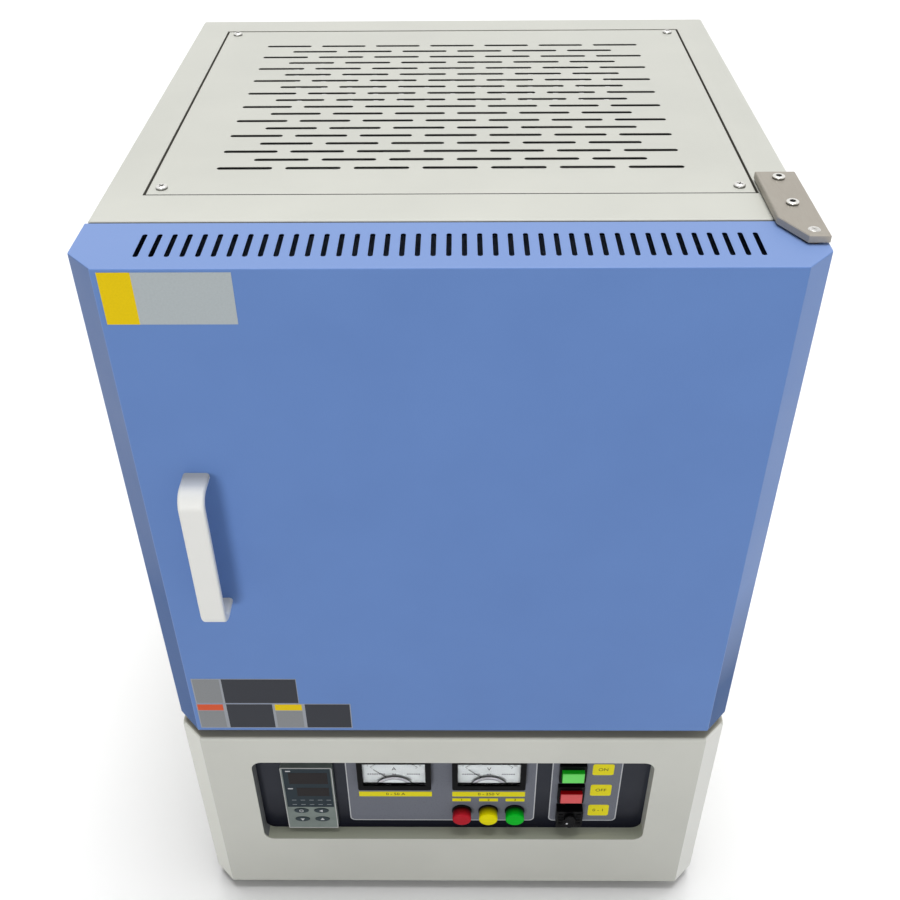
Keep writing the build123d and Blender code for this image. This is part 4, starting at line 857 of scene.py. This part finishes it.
def set_heads(name, mesh, matrices, material, replaced):
    """One piece with a copy of a head at every place."""
    bm = bmesh.new()
    for matrix in matrices:
        copy = mesh.copy()
        copy.transform(matrix)
        pour(copy, bm)
    bpy.data.meshes.remove(mesh)
    piece = finish(bm, name, material)
    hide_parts(replaced)
    return piece


def panel_screws():
    """Cross-recess pan heads of the grille panel, back panel and base cover."""
    spots = []
    for x in (GRILLE_LOW.x + GRILLE_SCREW_INSET, GRILLE_HIGH.x - GRILLE_SCREW_INSET):
        for y in (GRILLE_LOW.y + GRILLE_SCREW_INSET, GRILLE_HIGH.y - GRILLE_SCREW_INSET):
            degrees = PANEL_SCREW_TURNS[0] * x + PANEL_SCREW_TURNS[1] * y
            turn = Matrix.Rotation(math.radians(degrees), 4, "Z")
            spots.append(Matrix.Translation((x, y, CASING_TOP)) @ turn)
    casing_bottom = low("outer_casing").z
    casing_mid = (casing_bottom + CASING_TOP) / 2
    pitch = (CASING_TOP - casing_bottom) / 2 - REAR_SCREW_INSET
    base_mid = (BASE_Z + BASE_TOP) / 2
    heights = [casing_mid - pitch, casing_mid, casing_mid + pitch]
    heights += [base_mid - COVER_SCREW_PITCH / 2, base_mid + COVER_SCREW_PITCH / 2]
    to_rear = Matrix.Rotation(-math.pi / 2, 4, "X")
    for side in (-1, 1):
        for z in heights:
            turn = Matrix.Rotation(math.radians(REAR_SCREW_TURN * z), 4, "Z")
            place = Matrix.Translation((side * (HALF_WIDTH - REAR_SCREW_INSET), REAR_Y, z))
            spots.append(place @ to_rear @ turn)
    head = combine(
        domed_head(PANEL_HEAD, PANEL_HEAD_HEIGHT, PANEL_HEAD_CROWN),
        cross_tool(PANEL_HEAD_HEIGHT, *PANEL_CROSS),
        "DIFFERENCE",
    )
    set_heads("pan_head_screws", head, spots, SCREW_NICKEL_PAINTED_SHADE, "panel_screws")


def hinge_fasteners():
    """Button heads with a socket on both hinge plates, and the peened end of the upper pin."""
    plate_low, plate_high = low("hinge_plates"), high("hinge_plates")
    x = HALF_WIDTH - HINGE_PLATE_WIDTH / 2
    spots = [(x, plate_low.y + along, plate_high.z) for along in HINGE_SCREW_SPOTS]
    lower_x = HALF_WIDTH - LOWER_SCREW_INSET
    lower_y = (plate_low.y + CASING_FRONT - LOWER_PLATE_GAP) / 2
    lower_z = plate_low.z + HINGE_PLATE_THICKNESS
    for side in (-1, 1):
        spots.append((lower_x + side * LOWER_SCREW_HALF_PITCH, lower_y, lower_z))
    matrices = [Matrix.Translation(spot) for spot in spots]
    head = combine(
        domed_head(HINGE_HEAD, HINGE_HEAD_HEIGHT, HINGE_HEAD_CROWN),
        hex_tool(HINGE_HEAD_HEIGHT, HINGE_SOCKET, HINGE_SOCKET_DEPTH),
        "DIFFERENCE",
    )
    set_heads("hinge_button_heads", head, matrices, HINGE_NICKEL_PAINTED_SHADE, "hinge_screws")
    # Painted shade: a dark disc inside each socket.
    bm = bmesh.new()
    for x, y, z in spots:
        place = Matrix.Translation((x, y, z + SOCKET_FLOOR_RISE))
        add_disc(bm, SOCKET_FLOOR, SOCKET_FLOOR_THICKNESS, 6, place)
    finish(bm, "hinge_socket_painted_shade", SOCKET_PAINTED_SHADE)

    rivet = combine(
        domed_head(RIVET_RADIUS, RIVET_HEIGHT, RIVET_CROWN),
        cross_tool(RIVET_HEIGHT, *RIVET_CROSS),
        "DIFFERENCE",
    )
    place = Matrix.Translation((HALF_WIDTH - PIN_INSET, FACE_Y + PIN_SETBACK, plate_high.z))
    rivet.transform(place @ Matrix.Rotation(RIVET_TURN, 4, "Z"))
    bm = bmesh.new()
    pour(rivet, bm)
    finish(bm, "pin_peened_end", PIN_STEEL)


# ---------------------------------------------------------------- plates on the door

BACK_THICKNESS = 0.12
PLATE_THICKNESS = 0.2
# Name, x span, z span above the door's bottom, and material of each plate.
DOOR_PLATES = (
    ("upper_plate_grey", (-198.0, -135.0), (416.0, 453.5), LABEL_GREY),
    ("upper_plate_yellow", (-219.2, -198.0), (416.0, 453.5), LABEL_YELLOW),
    ("middle_plate_silver", (-218.6, -196.0), (38.0, 68.2), LABEL_SILVER),
    ("middle_plate_dark", (-194.2, -131.5), (37.7, 68.5), LABEL_DARK),
    ("lower_plate_orange", (-219.0, -196.9), (28.0, 35.8), LABEL_ORANGE),
    ("lower_plate_silver", (-219.0, -196.9), (5.0, 27.2), LABEL_SILVER),
    ("lower_plate_dark", (-194.0, -154.5), (4.7, 36.0), LABEL_DARK),
    ("lower_plate_yellow", (-152.3, -129.2), (28.0, 35.8), LABEL_YELLOW),
    ("lower_plate_silver_right", (-152.3, -129.2), (5.0, 27.2), LABEL_SILVER),
    ("lower_plate_dark_right", (-126.5, -88.0), (4.7, 36.0), LABEL_DARK),
)
DOOR_PLATE_BACKS = (
    ("middle_plate_back", (-219.6, -131.0), (37.0, 69.1), LABEL_EDGE),
    ("lower_plate_back", (-219.9, -87.2), (4.0, 36.6), LABEL_EDGE),
)


def door_plates():
    """Bare plates where the door carries its notices."""
    for plates, thickness in ((DOOR_PLATE_BACKS, BACK_THICKNESS), (DOOR_PLATES, PLATE_THICKNESS)):
        for name, x, (bottom, top), material in plates:
            bm = bmesh.new()
            add_plate(bm, x, (DOOR_BOTTOM + bottom, DOOR_BOTTOM + top), FACE_Y, thickness)
            finish(bm, name, material, "door")


# ---------------------------------------------------------------- panel prints

OVERLAYS = ((-100.0, 78.5), (92.0, 157.5))
OUTLINE_INSET = 0.3
OUTLINE_WIDTH = 0.8
OUTLINE_THICKNESS = 0.06
OVERLAY_RADIUS = 5.0
METER_XS = (-54.4, 33.6)
STRIP_SPANS = ((-89.2, -20.0), (-0.7, 68.4))
STRIP_Z = (126.0, 133.5)
LAMP_LABEL_SPANS = ((-0.7, 17.0), (24.9, 42.9), (50.1, 68.2))
LAMP_LABEL_Z = (118.2, 122.9)
SWITCH_LABEL_X = (129.75, 149.5)
SWITCH_LABEL_ZS = ((160.3, 176.8), (127.8, 145.3), (95.4, 113.0))
LABEL_THICKNESS = 0.1
STRIP_LETTERS = 5.5
LAMP_LETTERS = 4.4
SWITCH_LETTERS = 6.0


def above_base(span):
    """Span of heights given above the base's bottom."""
    return (BASE_Z + span[0], BASE_Z + span[1])


def middle(span):
    """Middle of a span."""
    return sum(span) / 2


def panel_prints():
    """Outlines, yellow labels and their plain lettering on the instrument overlays."""
    bm = bmesh.new()
    bottom, top = low("panel_overlays").z, high("panel_overlays").z
    for left, right in OVERLAYS:
        add_frame(
            bm,
            (left + OUTLINE_INSET, right - OUTLINE_INSET),
            (bottom + OUTLINE_INSET, top - OUTLINE_INSET),
            OVERLAY_Y,
            OUTLINE_THICKNESS,
            OUTLINE_WIDTH,
            OVERLAY_RADIUS,
        )
    finish(bm, "overlay_outlines", WHITE_PRINT)

    labels = [(span, STRIP_Z, 0.4, 2) for span in STRIP_SPANS]
    labels += [(span, LAMP_LABEL_Z, 0.5, 2) for span in LAMP_LABEL_SPANS]
    labels += [(SWITCH_LABEL_X, z_span, 2.2, 4) for z_span in SWITCH_LABEL_ZS]
    bm = bmesh.new()
    for x_span, z_span, radius, segments in labels:
        add_plate(bm, x_span, above_base(z_span), OVERLAY_Y, LABEL_THICKNESS, radius, segments)
    finish(bm, "yellow_labels", YELLOW_LABEL)

    prints = [
        ("0 - 50 A", STRIP_SPANS[0], STRIP_Z, STRIP_LETTERS),
        ("0 - 250 V", STRIP_SPANS[1], STRIP_Z, STRIP_LETTERS),
    ]
    for number, span in enumerate(LAMP_LABEL_SPANS, 1):
        prints.append((str(number), span, LAMP_LABEL_Z, LAMP_LETTERS))
    for text, z_span in zip(("ON", "OFF", "0 - 1"), SWITCH_LABEL_ZS):
        prints.append((text, SWITCH_LABEL_X, z_span, SWITCH_LETTERS))
    label_y = OVERLAY_Y - LABEL_THICKNESS
    words = []
    for text, x_span, z_span, height in prints:
        words.append((text, middle(x_span), BASE_Z + middle(z_span), label_y, height))
    lettering(words, "label_lettering", INK)


# ---------------------------------------------------------------- meter dials

NEEDLE_RISE = 1.5
SCALE_RADIUS = 31.0
SCALE_SWEEP = math.radians(90.0)
SCALE_STEPS = 25
SCALE_LINE = 0.35
STEPS_PER_NUMBER = 5
NUMBERED_MARK = (2.6, 0.35)  # length and width
PLAIN_MARK = (1.4, 0.2)
NUMBER_REACH = 3.2
NUMBER_HEIGHT = 2.4
UNIT_RISE = 20.6
UNIT_HEIGHT = 6.6
BOSS_CUT = 2.95  # boss's flat edge above the opening's bottom
BOSS_DROP = 10.0  # boss centre below its flat edge
BOSS_RADIUS = 19.3
BOSS_INNER = 14.7
BOSS_THICKNESS = 0.16
PRINT_ROWS = ((-16.7, 17.0), (0.0, 4.5), (17.9, 14.0))  # middle and length of each small print
PRINT_RISE = 12.8
PRINT_STEP = 2.1
PRINT_MARK = (1.5, 1.7)
PRINT_THICKNESS = 0.05
STROKE_OVERLAP = 1.06
LEVEL = (1.0, 0.0)


def round_spot(center, radius, angle):
    """Point (x, z) at an angle round a centre."""
    return (center[0] + radius * math.cos(angle), center[1] + radius * math.sin(angle))


def add_stroke(bm, center, direction, along, across, back_y):
    """Straight printed mark: a thin block centred on a point, turned to a direction."""
    angle = math.atan2(direction[1], direction[0])
    x_span, z_span = (-along / 2, along / 2), (-across / 2, across / 2)
    verts = add_block(bm, x_span, (-PRINT_THICKNESS, 0.0), z_span)
    place = Matrix.Translation((center[0], back_y, center[1])) @ Matrix.Rotation(-angle, 4, "Y")
    bmesh.ops.transform(bm, verts=verts, matrix=place)


def add_arc(bm, center, radius, width, start, stop, back_y, steps):
    """Printed arc of short strokes, from start to stop in radians."""
    step = (stop - start) / steps
    for index in range(steps):
        angle = start + (index + 0.5) * step
        spot = round_spot(center, radius, angle)
        across = (-math.sin(angle), math.cos(angle))
        add_stroke(bm, spot, across, abs(radius * step) * STROKE_OVERLAP, width, back_y)


def dial_scale(bm, pivot, full, dial_y):
    """Arc and marks of one scale; returns its numbers as words for lettering."""
    words = []
    start = math.pi / 2 + SCALE_SWEEP / 2
    add_arc(bm, pivot, SCALE_RADIUS, SCALE_LINE, start, start - SCALE_SWEEP, dial_y, 30)
    for step in range(SCALE_STEPS + 1):
        angle = start - SCALE_SWEEP * step / SCALE_STEPS
        numbered = step % STEPS_PER_NUMBER == 0
        reach, width = NUMBERED_MARK if numbered else PLAIN_MARK
        spot = round_spot(pivot, SCALE_RADIUS - reach / 2, angle)
        add_stroke(bm, spot, (math.cos(angle), math.sin(angle)), reach, width, dial_y)
        if numbered:
            spot = round_spot(pivot, SCALE_RADIUS + NUMBER_REACH, angle)
            words.append((str(full * step // SCALE_STEPS), *spot, dial_y, NUMBER_HEIGHT))
    return words


def meter_faces():
    """Scales, numbers and small print of both dials."""
    dial_y = low("meter_dials").y
    bottom = low("meter_glasses").z
    scales, rows = bmesh.new(), bmesh.new()
    words = []
    for x, unit, full in zip(METER_XS, "AV", (50, 250)):
        words += dial_scale(scales, (x, bottom + NEEDLE_RISE), full, dial_y)
        words.append((unit, x, bottom + UNIT_RISE, dial_y, UNIT_HEIGHT))
        for offset, length in PRINT_ROWS:
            count = int(length / PRINT_STEP)
            for mark in range(count):
                mark_x = x + offset + (mark - (count - 1) / 2) * PRINT_STEP
                add_stroke(rows, (mark_x, bottom + PRINT_RISE), LEVEL, *PRINT_MARK, dial_y)
    finish(scales, "dial_scales", INK)
    finish(rows, "dial_small_print", SOFT_INK)
    lettering(words, "dial_numbers", INK)


def add_cap(bm, x, centre_z, radius, flat_z, y):
    """Part of a disc above a flat edge, facing the front."""
    verts = add_disc(bm, radius, BOSS_THICKNESS, 72, facing(x, y, centre_z))
    edges = {edge for vert in verts for edge in vert.link_edges}
    faces = {face for vert in verts for face in vert.link_faces}
    cut = bmesh.ops.bisect_plane(
        bm,
        geom=verts + list(edges) + list(faces),
        plane_co=(x, 0.0, flat_z),
        plane_no=(0.0, 0.0, 1.0),
        clear_inner=True,
    )["geom_cut"]
    bmesh.ops.holes_fill(bm, edges=[edge for edge in cut if isinstance(edge, bmesh.types.BMEdge)])


def meter_bosses():
    """Raised boss over each pointer's pivot, with its dark rim and its lighter middle."""
    glass_y = high("meter_glasses").y
    flat_z = low("meter_glasses").z + BOSS_CUT
    for name, radius, step, material in (
        ("meter_boss_rims", BOSS_RADIUS, 0.60, INK),
        ("meter_boss_rings", BOSS_RADIUS - 1.1, 0.52, BOSS_GREY),
        ("meter_boss_lines", BOSS_INNER + 0.7, 0.44, SOFT_INK),
        ("meter_boss_caps", BOSS_INNER, 0.36, DIAL_CARD),
    ):
        bm = bmesh.new()
        for x in METER_XS:
            add_cap(bm, x, flat_z - BOSS_DROP, radius, flat_z, glass_y + step)
        finish(bm, name, material)


# ---------------------------------------------------------------- controller face


RIM_THICKNESS = 0.5
RIM_WIDTH = 0.8
RIM_RADIUS = 1.4
WINDOW_THICKNESS = 0.08
MARK_THICKNESS = 0.06
# Spans of each digit window, from the display's left, right and top.
DIGIT_WINDOWS = ((5.0, -2.9, -23.0, -6.0), (11.0, -2.9, -42.0, -29.0))
INDICATOR_RISES = (4.0, 11.0)
INDICATOR_LEFT = 7.0
INDICATOR_PITCH = 8.2
INDICATOR_MARK = (4.2, 0.9)  # length and width
WINDOW_MARK_LEFT = 5.2
WINDOW_MARK_DROPS = (3.6, 30.5)
WINDOW_MARK = (4.6, 1.5)
KEY_RING = (1.7, 0.7)  # radius and line
KEY_ARROW = 2.3
# Node, way its arrow points (none has a ring), and body of each key.
KEY_MARKS = (
    ("key_set", None, "set_key"),
    ("key_shift", math.pi / 2, "shift_key"),
    ("key_down", math.pi, "down_key"),
    ("key_up", 0.0, "up_key"),
)
LOCK_DOT = 1.1
LOCK_DOT_LEFT = 2.6
LOCK_DOT_RISE = 7.4


def key_mark(node, heading, body):
    """Ring or arrow on one key."""
    centre = (low(node) + high(node)) / 2
    key_y = low(node).y
    bm = bmesh.new()
    if heading is None:
        add_arc(bm, (centre.x, centre.z), *KEY_RING, 0.0, 2 * math.pi, key_y, 16)
    else:
        place = Matrix.Translation((centre.x, key_y - MARK_THICKNESS / 2, centre.z))
        turn = Matrix.Rotation(-heading, 4, "Y") @ Matrix.Rotation(math.pi / 2, 4, "X")
        add_disc(bm, KEY_ARROW, MARK_THICKNESS, 3, place @ turn)
    finish(bm, node + "_mark", WHITE_PRINT, body)


def controller_face():
    """Frame, digit windows, indicator marks and key symbols of the temperature controller."""
    case_low, case_high = low("controller_case"), high("controller_case")
    glass_low, glass_high = low("controller_display"), high("controller_display")
    bm = bmesh.new()
    x_span, z_span = (case_low.x, case_high.x), (case_low.z, case_high.z)
    add_frame(bm, x_span, z_span, case_low.y, RIM_THICKNESS, RIM_WIDTH, RIM_RADIUS)
    finish(bm, "controller_rim", RIM_SILVER)

    bm = bmesh.new()
    for left, right, bottom, top in DIGIT_WINDOWS:
        x_span = (glass_low.x + left, glass_high.x + right)
        z_span = (glass_high.z + bottom, glass_high.z + top)
        add_plate(bm, x_span, z_span, glass_low.y, WINDOW_THICKNESS)
    finish(bm, "digit_windows", DIGIT_WINDOW)

    bm = bmesh.new()
    for rise in INDICATOR_RISES:
        for column in range(5):
            mark_x = glass_low.x + INDICATOR_LEFT + column * INDICATOR_PITCH
            add_stroke(bm, (mark_x, glass_low.z + rise), LEVEL, *INDICATOR_MARK, glass_low.y)
    finish(bm, "indicator_marks", PALE_PRINT)
    bm = bmesh.new()
    for drop in WINDOW_MARK_DROPS:
        spot = (glass_low.x + WINDOW_MARK_LEFT, glass_high.z - drop)
        add_stroke(bm, spot, LEVEL, *WINDOW_MARK, glass_low.y)
    finish(bm, "window_marks", WHITE_PRINT)
    for values in KEY_MARKS:
        key_mark(*values)


def lock_mark():
    """White dot near the lower end of the lock knob's grip."""
    knob_low, knob_high = low("lock_knob"), high("lock_knob")
    x = (knob_low.x + knob_high.x) / 2 - LOCK_DOT_LEFT
    bm = bmesh.new()
    place = facing(x, knob_low.y - MARK_THICKNESS / 2, knob_low.z + LOCK_DOT_RISE)
    add_disc(bm, LOCK_DOT, MARK_THICKNESS, 20, place)
    finish(bm, "lock_pointer_dot", WHITE_PRINT, "lock_switch")


# ---------------------------------------------------------------- camera, light and floor

CAMERA_SPOT = (6.74, -839.40, 1040.45)
CAMERA_TURN = 0.800  # degrees, to the left
CAMERA_DIP = 38.319  # degrees below level
CAMERA_ROLL = -0.557
FOCAL_PIXELS = 1088.18
CENTRE_SHIFT = (2.18, 2.17)  # pixels
SENSOR_SIDE = 36.0
NEAR_LIMIT, FAR_LIMIT = 0.01, 100.0  # metres
OVERHEAD = (0.02, 0.12, 0.99)
OVERHEAD_STRENGTH = 2.43
OVERHEAD_SOFTNESS = 35.0
FRONT_FILL = (-0.27, -0.96, 0.04)
FRONT_STRENGTH = 1.43
FRONT_SOFTNESS = 18.0
SKY_LEFT = 0.10
SKY_RIGHT = 0.70
WHITE = (1.0, 1.0, 1.0)
FLOOR_HALF = 15000.0
FLOOR_BOUNCE = (0.50, 0.50, 0.50)
FLOOR_TONE = (0.96, 0.96, 0.96)


def place_camera():
    """Camera at the viewing place, with a square picture."""
    data = bpy.data.cameras.new("camera")
    camera = new_object("camera", data)
    turn = (
        Matrix.Rotation(math.radians(CAMERA_TURN), 4, "Z")
        @ Matrix.Rotation(math.radians(90.0 - CAMERA_DIP), 4, "X")
        @ Matrix.Rotation(math.radians(CAMERA_ROLL), 4, "Z")
    )
    camera.matrix_world = Matrix.Translation(Vector(CAMERA_SPOT) * MM) @ turn
    data.sensor_width = SENSOR_SIDE
    data.sensor_height = SENSOR_SIDE
    data.lens = FOCAL_PIXELS / IMAGE_SIDE * SENSOR_SIDE
    data.shift_x = CENTRE_SHIFT[0] / IMAGE_SIDE
    data.shift_y = CENTRE_SHIFT[1] / IMAGE_SIDE
    data.clip_start = NEAR_LIMIT
    data.clip_end = FAR_LIMIT
    bpy.context.scene.camera = camera


def seen_directly(tree):
    """1 for camera, glossy and transmission rays, which see the white surroundings."""
    path = tree.nodes.new("ShaderNodeLightPath")
    total = path.outputs["Is Camera Ray"]
    for kind in ("Is Glossy Ray", "Is Transmission Ray"):
        total = calculate(tree, "MAXIMUM", total, path.outputs[kind])
    return total


def sun_light(name, towards, strength, softness):
    """Even light from a direction, softness in degrees."""
    sun = bpy.data.lights.new(name, "SUN")
    sun.energy = strength
    sun.angle = math.radians(softness)
    lamp = new_object(name, sun)
    lamp.rotation_euler = Vector(towards).to_track_quat("Z", "Y").to_euler()


def light_scene():
    """White surroundings, a sky brighter on the right, a broad light overhead, one in front."""
    world = bpy.data.worlds.new("studio")
    bpy.context.scene.world = world
    world.use_nodes = True
    tree = world.node_tree
    tree.nodes.clear()
    out = tree.nodes.new("ShaderNodeOutputWorld")
    background = tree.nodes.new("ShaderNodeBackground")
    feed(tree, WHITE, background.inputs["Color"])
    sky = spread(tree, place_along(tree, "X", "Generated"), SKY_LEFT, SKY_RIGHT, -1.0, 1.0)
    strength = blend(tree, seen_directly(tree), sky, 1.0)
    feed(tree, strength, background.inputs["Strength"])
    tree.links.new(background.outputs[0], out.inputs[0])
    sun_light("overhead", OVERHEAD, OVERHEAD_STRENGTH, OVERHEAD_SOFTNESS)
    sun_light("front_fill", FRONT_FILL, FRONT_STRENGTH, FRONT_SOFTNESS)


def lay_floor():
    """Large plain pale floor."""
    bm = bmesh.new()
    bmesh.ops.create_grid(bm, x_segments=2, y_segments=2, size=FLOOR_HALF)
    bmesh.ops.scale(bm, vec=(MM, MM, MM), verts=bm.verts)
    floor = object_from(bm, "floor")
    material, tree, shader = new_material("pale_floor")
    color = tint(tree, seen_directly(tree), FLOOR_BOUNCE, FLOOR_TONE)
    surface(tree, shader, color, 0.9, gloss=0.1)
    floor.data.materials.append(material)


# ---------------------------------------------------------------- put together
bpy.context.scene.view_settings.view_transform = "Standard"
place_camera()
light_scene()
lay_floor()
dress_nodes()
door_plates()
panel_prints()
meter_faces()
meter_bosses()
controller_face()
panel_screws()
hinge_fasteners()
lock_mark()
